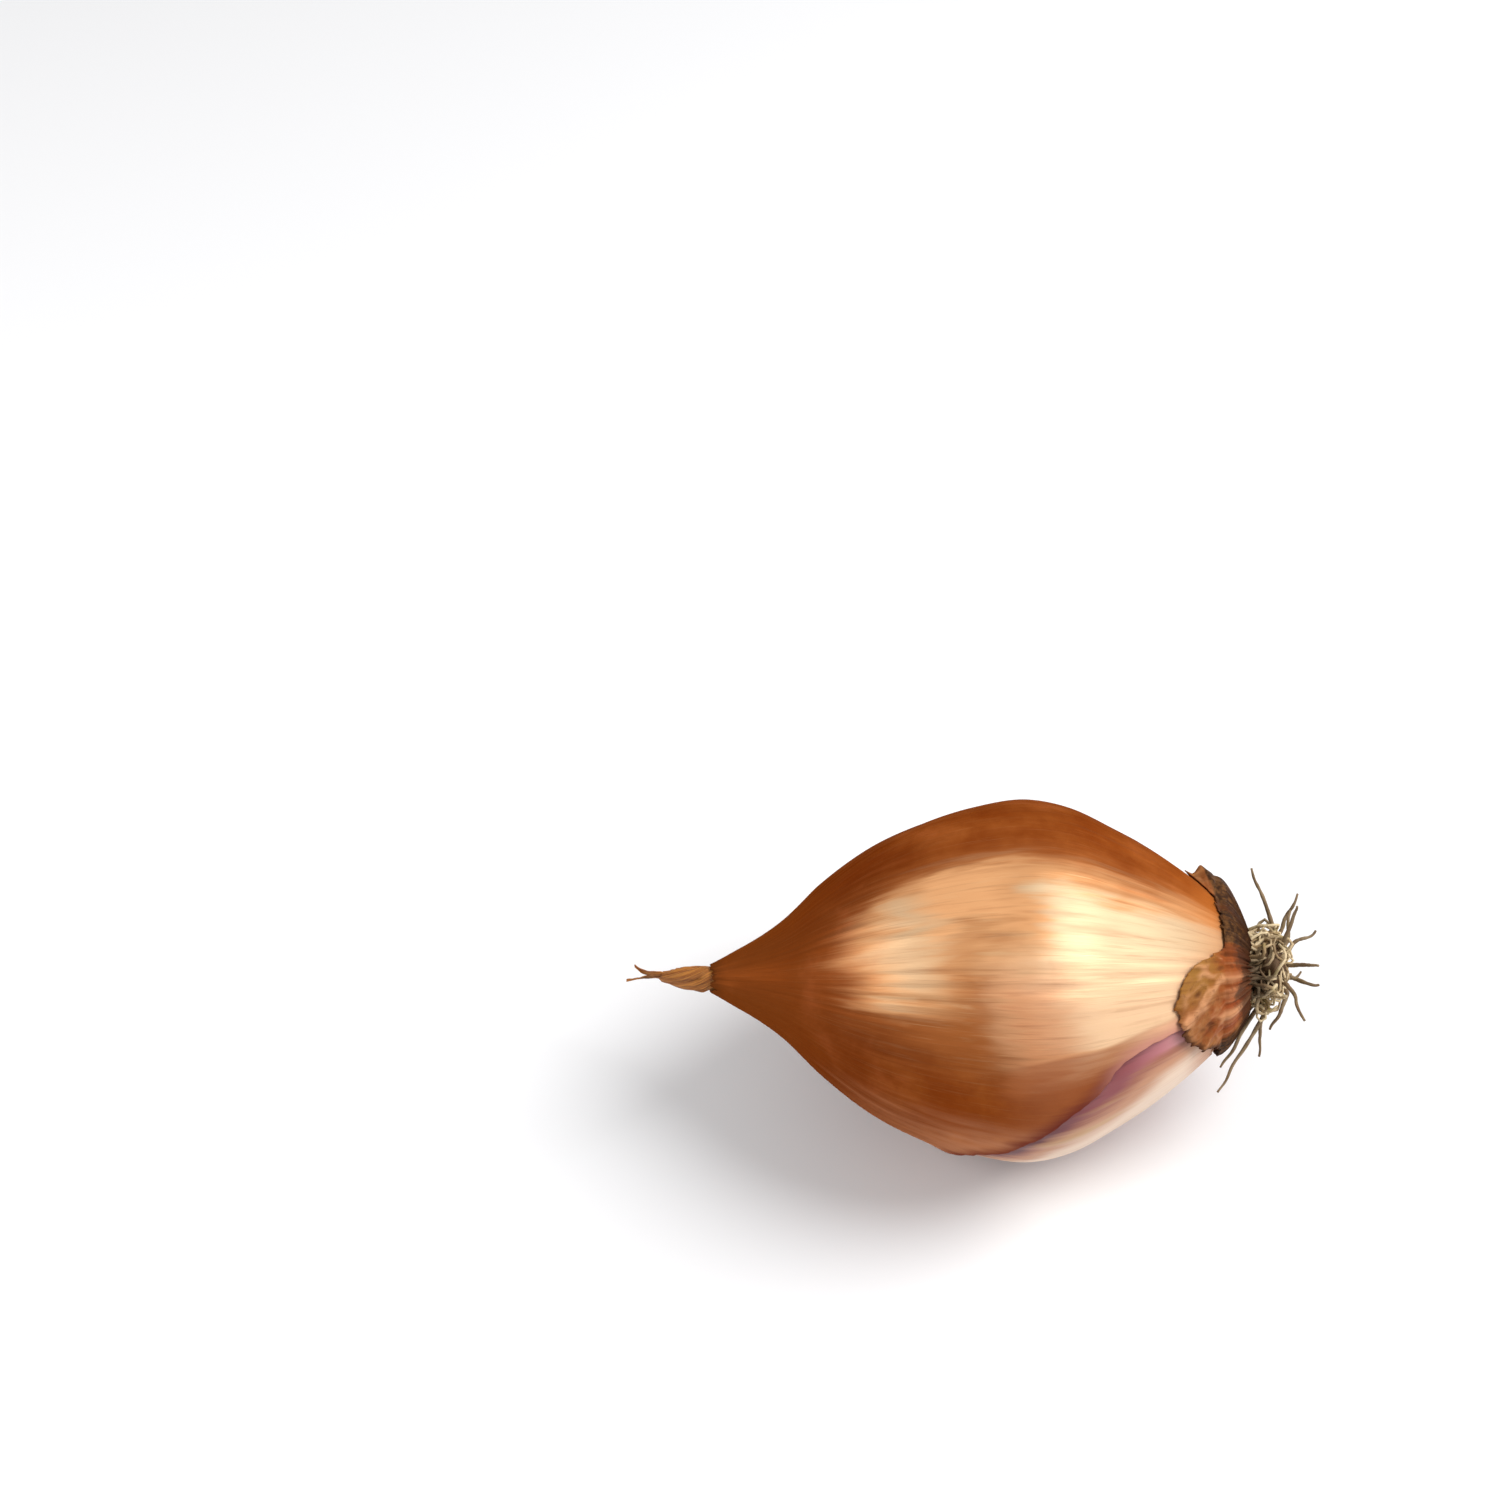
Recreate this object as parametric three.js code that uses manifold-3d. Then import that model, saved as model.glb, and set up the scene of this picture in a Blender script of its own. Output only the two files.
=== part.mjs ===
// A long shallot lying on its belly: the fleshy bulb, its papery outer skin torn open on one side, the
// remains of an older skin round the root end, the corky root plate with its dry roots, and the withered
// leaf tips of the neck. Millimetres, +Z up. The bulb's axis runs along X, with the neck at -X and the
// roots at +X. The origin is under the middle of the whole shallot, on the surface that it rests on.
import * as THREE from "three";
import { mergeVertices } from "three/addons/utils/BufferGeometryUtils.js";
import Module from "manifold-3d";

// Driving dimensions.
const BULB_LENGTH = 61;
const BULB_DIAMETER = 42;
const SKIN_WALL = 0.35;
const GAP = 0.3; // between neighbouring pieces
const FLAT_DEPTH = 1.1; // how much of the round belly the resting flat takes away
const COLLAR_WALL = 0.4;
const PLATE_DIAMETER = 10.6;
const PLATE_THICKNESS = 1.7;
const ROOT_MAT_LENGTH = 4.8;
const ROOT_MAT_DIAMETER = 8.8;
const ROOT_DIAMETER = 0.56;
const DRY_NECK_LENGTH = 5.2;
const DRY_NECK_WIDTH = 3.1;

// Worked out from them.
const RADIUS = BULB_DIAMETER / 2;
const REST_HEIGHT = RADIUS - FLAT_DEPTH;
const BULB_INSET = SKIN_WALL + GAP;
const WIDEST = 0.6; // share of the length from the neck to the widest place
const NECK_X = -WIDEST * BULB_LENGTH;
const ROOT_X = (1 - WIDEST) * BULB_LENGTH;

const degrees = THREE.MathUtils.degToRad;
const lerp = THREE.MathUtils.lerp;

const MATERIALS = {
  flesh: new THREE.MeshStandardMaterial({ color: 0xc9a0a8, roughness: 0.35, metalness: 0 }),
  skin: new THREE.MeshStandardMaterial({ color: 0xb8702f, roughness: 0.4, metalness: 0 }),
  oldSkin: new THREE.MeshStandardMaterial({ color: 0xa8642c, roughness: 0.6, metalness: 0 }),
  cork: new THREE.MeshStandardMaterial({ color: 0x4a3220, roughness: 0.9, metalness: 0 }),
  root: new THREE.MeshStandardMaterial({ color: 0x8f8468, roughness: 0.85, metalness: 0 }),
  neck: new THREE.MeshStandardMaterial({ color: 0x9a5f24, roughness: 0.7, metalness: 0 }),
};

function piece(name, geometry, material) {
  const mesh = new THREE.Mesh(geometry, material);
  mesh.name = name;
  return mesh;
}

// The outline from neck to root: share of the length, then share of the largest radius.
const OUTLINE = new THREE.SplineCurve(
  [
    [0, 0.09],
    [0.067, 0.185],
    [0.136, 0.318],
    [0.208, 0.515],
    [0.306, 0.733],
    [0.406, 0.876],
    [0.5, 0.962],
    [WIDEST, 1],
    [0.68, 0.95],
    [0.76, 0.83],
    [0.85, 0.67],
    [0.943, 0.455],
    [1, 0.3],
  ].map(([along, out]) => new THREE.Vector2(along, out)),
).getPoints(400);

function radiusAt(along) {
  const next = Math.max(1, OUTLINE.findIndex((point) => point.x >= along - 1e-9));
  const [a, b] = [OUTLINE[next - 1], OUTLINE[next]];
  return lerp(a.y, b.y, (along - a.x) / (b.x - a.x)) * RADIUS;
}

// The bulb isn't quite round, and its axis bows a little up and back towards both ends, more at the root.
const OVAL = { share: 0.012, turn: 0.9 };
const THREE_SIDED = { share: 0.006, turn: -0.4 };
const NECK_BOW = 0.3;
const ROOT_BOW = 1.1;
const BOW_ANGLE = degrees(35); // above the horizontal, towards +Y

function bowAt(x) {
  const rise = x < 0 ? NECK_BOW * (x / NECK_X) ** 2 : ROOT_BOW * (x / ROOT_X) ** 2;
  return new THREE.Vector3(x, rise * Math.cos(BOW_ANGLE), rise * Math.sin(BOW_ANGLE));
}

// The unit vector out from the axis at an angle, which is 0 at the front (-Y) and 90 degrees on top.
function outFrom(angle) {
  return new THREE.Vector3(0, -Math.cos(angle), Math.sin(angle));
}

// A point of the bulb's surface, on a layer moved in by inset, or on the axis.
function onBulb(along, angle, inset, onAxis = false) {
  const oval = OVAL.share * Math.cos(2 * angle - OVAL.turn);
  const threeSided = THREE_SIDED.share * Math.cos(3 * angle - THREE_SIDED.turn);
  const out = onAxis ? 0 : radiusAt(along) * (1 + oval + threeSided) - inset;
  const at = bowAt(NECK_X + along * BULB_LENGTH).addScaledVector(outFrom(angle), out);
  at.z = Math.max(at.z, inset - REST_HEIGHT);
  return at;
}

// Turns a profile of { along, inset } round the bulb's axis. reach(along, angle) may move a station along
// the bulb.
function turned(profile, around, reach = (along) => along) {
  const outline = profile.map(
    ({ along, inset, onAxis }) => new THREE.Vector2(onAxis ? 0 : radiusAt(along) - inset, -along),
  );
  const geometry = new THREE.LatheGeometry(outline, around);
  const place = geometry.getAttribute("position");
  for (let k = 0; k < place.count; k++) {
    const { along, inset, onAxis } = profile[k % profile.length];
    const angle = -Math.PI / 2 - (2 * Math.PI * Math.floor(k / profile.length)) / around;
    const at = onBulb(reach(along, angle), angle, inset, onAxis);
    place.setXYZ(k, at.x, at.y, at.z);
  }
  return geometry;
}

function layer(from, to, steps, inset) {
  return Array.from({ length: steps + 1 }, (_, i) => ({ along: lerp(from, to, i / steps), inset }));
}

// A thin shell over a stretch of the bulb, between two insets, as a profile that closes on itself.
function shellProfile(steps, outside, inside) {
  const outer = layer(0, 1, steps, outside);
  return [...outer, ...layer(1, 0, steps, inside), outer[0]];
}

const wasm = await Module();
wasm.setup();

function asSolid(geometry) {
  const bare = geometry.clone();
  bare.deleteAttribute("normal");
  bare.deleteAttribute("uv");
  const merged = mergeVertices(bare, 1e-3);
  return new wasm.Manifold(
    new wasm.Mesh({
      numProp: 3,
      vertProperties: new Float32Array(merged.getAttribute("position").array),
      triVerts: new Uint32Array(merged.index.array),
    }),
  );
}

function asGeometry(solid) {
  const mesh = solid.getMesh();
  const geometry = new THREE.BufferGeometry();
  geometry.setAttribute("position", new THREE.BufferAttribute(new Float32Array(mesh.vertProperties), 3));
  geometry.setIndex(new THREE.BufferAttribute(new Uint32Array(mesh.triVerts), 1));
  geometry.computeVertexNormals();
  return geometry;
}

// The fleshy bulb fills the outer skin and narrows into the neck.
const BULB_NECK_SHARE = 0.025;
const BULB_ROOT_SHARE = 0.975;
const BULB_STEPS = 20;
const BULB_AROUND = 36;

function bulb() {
  const side = layer(BULB_NECK_SHARE, BULB_ROOT_SHARE, BULB_STEPS, BULB_INSET);
  const [neckEnd, rootEnd] = [side[0], side.at(-1)].map((station) => ({ ...station, onAxis: true }));
  return turned([neckEnd, ...side, rootEnd], BULB_AROUND);
}

// The papery outer skin: a thin shell over the whole bulb, open at the neck and the root, less the torn
// place.
const SKIN_STEPS = 22;
const SKIN_AROUND = 48;

// The torn place, seen straight on from this angle: a lens that starts at the root end, crosses the front
// below the middle and closes under the belly. Points are x and the distance across from the middle of
// the tear.
const TEAR_POINTS = 30;
const TEAR_ANGLE = degrees(-33);
const TEAR = [
  [ROOT_X + 4, 6.4],
  [21, 8.5],
  [16.6, 11.5],
  [12.4, 13.7],
  [8.7, 14.8],
  [2.9, 13.3],
  [-2.9, 6.9],
  [-6.6, -0.4],
  [-5.6, -3.9],
  [-1.5, -8.2],
  [4, -11],
  [10, -11.3],
  [16, -10.2],
  [21, -8.5],
  [ROOT_X + 4, -7.4],
];

function tearCutter() {
  const rim = new THREE.SplineCurve(TEAR.map(([x, across]) => new THREE.Vector2(x, across)));
  const shape = new THREE.Shape(rim.getPoints(TEAR_POINTS));
  const geometry = new THREE.ExtrudeGeometry(shape, { depth: 2 * RADIUS, bevelEnabled: false });
  const along = new THREE.Vector3(1, 0, 0);
  const outward = outFrom(TEAR_ANGLE);
  const round = new THREE.Vector3().crossVectors(outward, along);
  return geometry.applyMatrix4(new THREE.Matrix4().makeBasis(along, round, outward));
}

function outerSkin() {
  const shell = turned(shellProfile(SKIN_STEPS, 0, SKIN_WALL), SKIN_AROUND);
  return asGeometry(asSolid(shell).subtract(asSolid(tearCutter())));
}

// What is left of an older skin round the root end. Its ragged edge reaches furthest forward in a flap at
// the front and in a small lip on the far side.
const COLLAR_STEPS = 3;
const COLLAR_START = 0.965;
const FLAP = { middle: degrees(33), spread: degrees(33), reach: 0.085 };
const LIP = { middle: degrees(142), spread: degrees(24), reach: 0.05 };
const RAGGED = [
  { waves: 5, turn: 1, reach: 0.006 },
  { waves: 11, turn: 0, reach: 0.004 },
];

function reachOf({ middle, spread, reach }, angle) {
  const away = Math.abs(Math.atan2(Math.sin(angle - middle), Math.cos(angle - middle)));
  return away < spread ? reach * Math.cos((away / spread) * (Math.PI / 2)) ** 0.6 : 0;
}

function collarEdge(angle) {
  const torn = Math.max(reachOf(FLAP, angle), reachOf(LIP, angle));
  const wave = ({ waves, turn, reach }) => reach * Math.sin(waves * angle + turn);
  return COLLAR_START - torn + RAGGED.reduce((sum, each) => sum + wave(each), 0);
}

function rootCollar() {
  const profile = shellProfile(COLLAR_STEPS, -GAP - COLLAR_WALL, -GAP);
  return turned(profile, SKIN_AROUND, (share, angle) => lerp(collarEdge(angle), 1, share));
}

// The corky plate that the roots grow from: a low dome at the end of the bulb, inside the open end of the
// skin. Its outline is shares of its radius and its thickness.
const PLATE_X = NECK_X + BULB_ROOT_SHARE * BULB_LENGTH + GAP;
const PLATE_OUTLINE = [[0, 0], [0.9, 0], [1, 0.3], [0.94, 0.65], [0.6, 0.95], [0, 1]];
const PLATE_AROUND = 24;

function rootPlate() {
  const outline = PLATE_OUTLINE.map(
    ([out, up]) => new THREE.Vector2((out * PLATE_DIAMETER) / 2, up * PLATE_THICKNESS),
  );
  const geometry = new THREE.LatheGeometry(outline, PLATE_AROUND);
  const end = bowAt(PLATE_X);
  return geometry.rotateZ(-Math.PI / 2).translate(end.x, end.y, end.z);
}

// The dry roots are matted together behind the plate: one lumpy wad.
const MAT_CENTRE = bowAt(PLATE_X + PLATE_THICKNESS + GAP + ROOT_MAT_LENGTH / 2);
const MAT_LUMPS = 0.07;

// How far the wad reaches from its centre in a direction.
function matReach(direction) {
  const { x, y, z } = direction;
  const [a, b] = [ROOT_MAT_LENGTH / 2, ROOT_MAT_DIAMETER / 2];
  const smooth = 1 / Math.sqrt((x / a) ** 2 + (y ** 2 + z ** 2) / b ** 2);
  const lumps = Math.sin(4 * Math.atan2(z, y) + 3 * x) + Math.cos(3 * Math.atan2(z, y) - 5 * x);
  return smooth * (1 + MAT_LUMPS * lumps * Math.hypot(y, z) - MAT_LUMPS * Math.max(0, -x));
}

function rootMat() {
  const geometry = new THREE.SphereGeometry(1, 20, 12).rotateZ(-Math.PI / 2);
  const place = geometry.getAttribute("position");
  for (let k = 0; k < place.count; k++) {
    const direction = new THREE.Vector3().fromBufferAttribute(place, k).normalize();
    const at = direction.clone().multiplyScalar(matReach(direction)).add(MAT_CENTRE);
    place.setXYZ(k, at.x, at.y, at.z);
  }
  return geometry;
}

// The roots that stand free of the wad. Each has its angle round the bulb's axis, the slant of its start
// seen from the wad's centre, and the slant that it grows at. A slant is measured from +X, and past 90
// degrees it leans back towards the bulb. It curls sideways by a share of its length.
const ROOTS = [
  { angle: 145, from: 84, lean: 108, length: 6.9, curl: 0.12 },
  { angle: 138, from: 52, lean: 86, length: 3.4, curl: -0.3 },
  { angle: 172, from: 70, lean: 64, length: 5, curl: 0.35 },
  { angle: -32, from: 102, lean: 117, length: 8.4, curl: 0.05 },
  { angle: -37, from: 92, lean: 121, length: 11.2, curl: -0.04 },
  { angle: -30, from: 55, lean: 112, length: 4.6, curl: 0.2 },
  { angle: -75, from: 88, lean: 94, length: 7.4, curl: -0.2 },
  { angle: -110, from: 66, lean: 62, length: 6.2, curl: 0.3 },
  { angle: -150, from: 84, lean: 98, length: 7.8, curl: -0.22 },
  { angle: -172, from: 44, lean: 40, length: 4.2, curl: 0.3 },
  { angle: 60, from: 40, lean: 38, length: 3.4, curl: 0.3 },
  { angle: 96, from: 72, lean: 80, length: 4.8, curl: -0.35 },
  { angle: 22, from: 68, lean: 70, length: 4.4, curl: 0.4 },
  { angle: -22, from: 26, lean: 24, length: 3.4, curl: -0.3 },
];
const ROOT_CORNERS = 6;
const ROOT_STEPS = 6;

// The direction at a slant, on the side of the bulb that out points to.
function slanted(out, slant) {
  return new THREE.Vector3(Math.cos(degrees(slant)), 0, 0).addScaledVector(out, Math.sin(degrees(slant)));
}

function root({ angle, from, lean, length, curl }) {
  const out = outFrom(degrees(angle));
  const side = new THREE.Vector3(1, 0, 0).cross(out);
  const start = slanted(out, from);
  const base = start.clone().multiplyScalar(matReach(start) + GAP + ROOT_DIAMETER / 2).add(MAT_CENTRE);
  const points = [0, 0.33, 0.67, 1].map((share) => {
    const at = base.clone().addScaledVector(slanted(out, lean), share * length);
    return at.addScaledVector(side, curl * length * share ** 2);
  });
  const round = new THREE.EllipseCurve(0, 0, ROOT_DIAMETER / 2, ROOT_DIAMETER / 2);
  const section = new THREE.Shape(round.getPoints(ROOT_CORNERS));
  const path = new THREE.CatmullRomCurve3(points);
  return new THREE.ExtrudeGeometry(section, { steps: ROOT_STEPS, extrudePath: path, curveSegments: 1 });
}

// The withered leaf bases that close the neck: a flat, twisted stalk that droops and turns a little to
// the back.
const NECK_END = bowAt(NECK_X - GAP);
const DRY_NECK = {
  droop: 1.5,
  turn: 1.3,
  twist: degrees(110),
  endWidth: 0.62, // share of the width at the neck
  startThickness: 0.9, // shares of the width
  endThickness: 0.55,
};

function neckLine(share) {
  const [back, down] = [DRY_NECK.turn * share ** 2, DRY_NECK.droop * share ** 2];
  return NECK_END.clone().add(new THREE.Vector3(-share * DRY_NECK_LENGTH, back, -down));
}

// A point of a cross-section that stands square to X: across and through it, turned by an angle.
function acrossAt(centre, across, through, turn) {
  const section = new THREE.Vector2(across, through).rotateAround(new THREE.Vector2(), turn);
  return new THREE.Vector3(centre.x, centre.y + section.x, centre.z + section.y);
}

function dryNeck() {
  const geometry = new THREE.CylinderGeometry(1, 1, 1, 14, 8);
  const place = geometry.getAttribute("position");
  for (let k = 0; k < place.count; k++) {
    const share = 0.5 + place.getY(k);
    const half = (DRY_NECK_WIDTH / 2) * lerp(1, DRY_NECK.endWidth, share);
    const thin = lerp(DRY_NECK.startThickness, DRY_NECK.endThickness, share);
    const [across, through] = [half * place.getX(k), half * thin * place.getZ(k)];
    const at = acrossAt(neckLine(share), across, through, DRY_NECK.twist * share);
    place.setXYZ(k, at.x, at.y, at.z);
  }
  return geometry;
}

// The tips of the dead leaves that come out of the stalk's end, each a narrow tapering strip that curls
// its own way.
const LEAF_TIP_WIDTH = { start: 0.9, end: 0.32 };
const LEAF_TIP_THICKNESS = { start: 0.4, end: 0.24 };
const LEAF_TIPS = [
  { offset: -0.6, length: 3.9, curl: [0.2, -0.36], roll: degrees(20) },
  { offset: 0.6, length: 2.9, curl: [0.36, 0.2], roll: degrees(-35) },
];

function leafTip({ offset, length, curl, roll }) {
  const end = neckLine(1);
  const geometry = new THREE.BoxGeometry(1, 1, 1, 6, 1, 1);
  const place = geometry.getAttribute("position");
  for (let k = 0; k < place.count; k++) {
    const share = 0.5 - place.getX(k);
    const across = lerp(LEAF_TIP_WIDTH.start, LEAF_TIP_WIDTH.end, share) * place.getY(k);
    const through = lerp(LEAF_TIP_THICKNESS.start, LEAF_TIP_THICKNESS.end, share) * place.getZ(k);
    const base = acrossAt(end, offset, 0, DRY_NECK.twist);
    const bent = new THREE.Vector3(0, ...curl).multiplyScalar(length * share ** 2);
    bent.x = -GAP - share * length;
    const at = acrossAt(base.add(bent), across, through, DRY_NECK.twist + roll * share);
    place.setXYZ(k, at.x, at.y, at.z);
  }
  return geometry;
}

const numbered = (name, i) => `${name}_${String(i + 1).padStart(2, "0")}`;

const shallot = new THREE.Group().add(
  piece("bulb", bulb(), MATERIALS.flesh),
  piece("outer_skin", outerSkin(), MATERIALS.skin),
  piece("root_collar", rootCollar(), MATERIALS.oldSkin),
  piece("root_plate", rootPlate(), MATERIALS.cork),
  piece("root_mat", rootMat(), MATERIALS.root),
  ...ROOTS.map((choice, i) => piece(numbered("root", i), root(choice), MATERIALS.root)),
  piece("dry_neck", dryNeck(), MATERIALS.neck),
  ...LEAF_TIPS.map((choice, i) => piece(numbered("leaf_tip", i), leafTip(choice), MATERIALS.neck)),
);

// Sets the shallot down with the origin under its middle.
const extent = new THREE.Box3().setFromObject(shallot);
const middle = extent.getCenter(new THREE.Vector3());
shallot.position.set(-middle.x, -middle.y, -extent.min.z);

export default shallot;
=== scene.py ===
"""A long shallot that lies on its belly: a copper skin torn open over the purple and cream bulb, the rest of
an older skin round the root end, a tuft of dry roots and a withered neck."""
import math

import bpy
import numpy as np
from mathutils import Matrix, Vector, noise


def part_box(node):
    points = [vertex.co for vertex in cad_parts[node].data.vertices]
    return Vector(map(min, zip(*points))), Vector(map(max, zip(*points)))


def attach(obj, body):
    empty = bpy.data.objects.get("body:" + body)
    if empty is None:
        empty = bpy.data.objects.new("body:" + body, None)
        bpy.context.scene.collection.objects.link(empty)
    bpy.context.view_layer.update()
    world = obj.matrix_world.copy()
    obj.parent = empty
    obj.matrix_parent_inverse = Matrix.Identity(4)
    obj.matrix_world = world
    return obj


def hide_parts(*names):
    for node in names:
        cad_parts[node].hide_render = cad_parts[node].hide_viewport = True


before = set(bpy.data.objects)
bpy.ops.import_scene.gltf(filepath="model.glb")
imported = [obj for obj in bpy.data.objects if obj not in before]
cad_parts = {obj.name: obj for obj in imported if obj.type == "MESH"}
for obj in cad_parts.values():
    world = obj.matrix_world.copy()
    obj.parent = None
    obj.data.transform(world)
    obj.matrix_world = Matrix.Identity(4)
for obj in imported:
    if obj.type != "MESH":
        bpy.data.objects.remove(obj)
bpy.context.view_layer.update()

MM = 0.001

# -------- the bulb's form, as the frame holds it
BULB_LENGTH = 61 * MM
RADIUS = 21 * MM
FLAT_DEPTH = 1.1 * MM
WIDEST = 0.6
NECK_BOW = 0.3 * MM
ROOT_BOW = 1.1 * MM
BOW_ANGLE = math.radians(35)
# How far the bulb is from round: a share of its radius, and an angle that turns the bulge, in radians.
OVAL = (0.012, 0.9)
THREE_SIDED = (0.006, -0.4)
# The outline, from the neck: shares of the length and of the radius.
OUTLINE = np.array([
    (0, 0.09), (0.067, 0.185), (0.136, 0.318), (0.208, 0.515), (0.306, 0.733), (0.406, 0.876),
    (0.5, 0.962), (0.6, 1), (0.68, 0.95), (0.76, 0.83), (0.85, 0.67), (0.943, 0.455), (1, 0.3),
])

NECK_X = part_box("outer_skin")[0].x
ROOT_X = NECK_X + BULB_LENGTH
WIDEST_X = NECK_X + WIDEST * BULB_LENGTH
AXIS_Z = RADIUS - FLAT_DEPTH
PLATE_LOW, PLATE_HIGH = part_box("root_plate")


def bow_at(x):
    """How far the bulb's axis has bowed at x."""
    end = np.where(x < WIDEST_X, NECK_X, ROOT_X)
    most = np.where(x < WIDEST_X, NECK_BOW, ROOT_BOW)
    return most * ((x - WIDEST_X) / (end - WIDEST_X)) ** 2


AXIS_Y = (PLATE_LOW.y + PLATE_HIGH.y) / 2 - bow_at(PLATE_LOW.x) * math.cos(BOW_ANGLE)


def axis_at(x):
    """The axis's y and z at x."""
    return AXIS_Y + bow_at(x) * math.cos(BOW_ANGLE), AXIS_Z + bow_at(x) * math.sin(BOW_ANGLE)


def share_at(x):
    """The share of the bulb's length at a distance along from its widest place."""
    return x / BULB_LENGTH + WIDEST


def from_widest(along):
    """The distance along from the widest place to a share of the length."""
    return (along - WIDEST) * BULB_LENGTH


def smooth_step(low, high, value):
    t = np.clip((value - low) / (high - low), 0, 1)
    return t * t * (3 - 2 * t)


def blend(start, end, share):
    return start + (end - start) * share


def curve_through(x, y, at):
    """A smooth curve through points, x rising, read at other places."""
    slope = np.gradient(y, x)
    k = np.clip(np.searchsorted(x, at, side="right") - 1, 0, len(x) - 2)
    width = x[k + 1] - x[k]
    t = (at - x[k]) / width
    return (
        (2 * t**3 - 3 * t**2 + 1) * y[k]
        + (t**3 - 2 * t**2 + t) * width * slope[k]
        + (3 * t**2 - 2 * t**3) * y[k + 1]
        + (t**3 - t**2) * width * slope[k + 1]
    )


def radius_at(along):
    return RADIUS * curve_through(*OUTLINE.T, along)


def beside_axis(x, angle, reach):
    """Points at a distance from the axis and an angle round it: 0 at the front, a quarter turn on top."""
    y, z = axis_at(np.minimum(x, ROOT_X))
    return np.stack([x, y - reach * np.cos(angle), z + reach * np.sin(angle)], axis=-1)


def on_bulb(along, angle, out):
    """Points at a share of the length and an angle round the axis, a distance out from the bulb."""
    oval = OVAL[0] * np.cos(2 * angle - OVAL[1])
    three_sided = THREE_SIDED[0] * np.cos(3 * angle - THREE_SIDED[1])
    reach = radius_at(along) * (1 + oval + three_sided) + out
    return beside_axis(NECK_X + along * BULB_LENGTH, angle, reach)


def round_bulb(points):
    """Each point's share of the length, angle round the axis and distance from it."""
    y, z = axis_at(points[:, 0])
    back, up = points[:, 1] - y, points[:, 2] - z
    return (points[:, 0] - NECK_X) / BULB_LENGTH, np.arctan2(up, -back), np.hypot(back, up)


def noise_at(*axes):
    """Smooth noise, about -1 to 1, at each place. Its axes are numbers or arrays."""
    spread = np.broadcast_arrays(*axes)
    places = zip(*(axis.ravel() for axis in spread))
    return np.array([noise.noise(place) for place in places]).reshape(spread[0].shape)


def around_noise(angle, waves, *others):
    """Noise that meets itself round the bulb."""
    return noise_at(waves * np.cos(angle), waves * np.sin(angle), *others)


# -------- modelling by hand
def deselect():
    if bpy.context.object and bpy.context.object.mode != "OBJECT":
        bpy.ops.object.mode_set(mode="OBJECT")
    bpy.ops.object.select_all(action="DESELECT")


def pick(piece):
    deselect()
    piece.select_set(True)
    bpy.context.view_layer.objects.active = piece


def edit(piece, by="VERT"):
    """Goes into edit mode, with vertices, edges or faces to select."""
    pick(piece)
    bpy.context.tool_settings.mesh_select_mode = [by == kind for kind in ("VERT", "EDGE", "FACE")]
    bpy.ops.object.mode_set(mode="EDIT")


def edit_all(piece, by="VERT"):
    edit(piece, by)
    bpy.ops.mesh.select_all(action="SELECT")


def leave_edit():
    bpy.ops.object.mode_set(mode="OBJECT")


def select_faces(piece, flags):
    """Goes into edit mode with just these faces selected."""
    deselect()
    for group in (piece.data.vertices, piece.data.edges):
        group.foreach_set("select", np.zeros(len(group), bool))
    piece.data.polygons.foreach_set("select", np.asarray(flags, bool))
    edit(piece, "FACE")


def finish_modifier(piece, kind, **settings):
    """Adds a modifier and applies it."""
    pick(piece)
    modifier = piece.modifiers.new(kind.title(), kind)
    for name, value in settings.items():
        setattr(modifier, name, value)
    bpy.ops.object.modifier_apply(modifier=modifier.name)


def refine(piece, levels):
    finish_modifier(piece, "SUBSURF", levels=levels, render_levels=levels)


def face_out(piece):
    edit_all(piece)
    bpy.ops.mesh.normals_make_consistent(inside=False)
    leave_edit()


def thicken(sheet, thickness, offset=-1):
    """Gives a sheet its thickness, inward unless the offset says otherwise."""
    face_out(sheet)
    finish_modifier(sheet, "SOLIDIFY", thickness=thickness, offset=offset)


def smooth(piece):
    pick(piece)
    bpy.ops.object.shade_smooth()


def points_of(piece):
    flat = np.empty(len(piece.data.vertices) * 3, np.float32)
    piece.data.vertices.foreach_get("co", flat)
    return flat.reshape(-1, 3).astype(float)


def set_points(piece, points):
    piece.data.vertices.foreach_set("co", points.astype(np.float32).ravel())
    piece.data.update()


def write(piece, **attributes):
    """Gives each point of the piece the numbers, single or in threes, that its material reads."""
    for name, values in attributes.items():
        kind, field = ("FLOAT_VECTOR", "vector") if np.ndim(values) == 2 else ("FLOAT", "value")
        attribute = piece.data.attributes.new(name, kind, "POINT")
        attribute.data.foreach_set(field, values.astype(np.float32).ravel())


def grain_at(along, angle):
    """The grain goes round and along, so that streaks run lengthwise."""
    return np.stack([np.cos(angle), np.sin(angle), along], axis=-1)


def new_circle(name, around, radius, centre=(0, 0, 0)):
    """A circle that faces along X."""
    deselect()
    bpy.ops.mesh.primitive_circle_add(
        vertices=around, radius=radius, location=centre, rotation=(0, math.pi / 2, 0)
    )
    piece = bpy.context.object
    piece.name = piece.data.name = name
    bpy.ops.object.transform_apply()
    return piece


def drawn_tube(name, along_stations, around, out=0.0):
    """A tube over the bulb, drawn out ring by ring from the neck end."""
    centres = [Vector((x, *axis_at(x))) for x in NECK_X + np.array(along_stations) * BULB_LENGTH]
    radii = radius_at(np.array(along_stations)) + out
    piece = new_circle(name, around, radii[0], centres[0])
    edit_all(piece)
    for k in range(1, len(radii)):
        move = centres[k] - centres[k - 1]
        bpy.ops.mesh.extrude_region_move(TRANSFORM_OT_translate={"value": move})
        grow = radii[k] / radii[k - 1]
        bpy.ops.transform.resize(value=(1, grow, grow), center_override=centres[k])
    leave_edit()
    return piece


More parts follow.
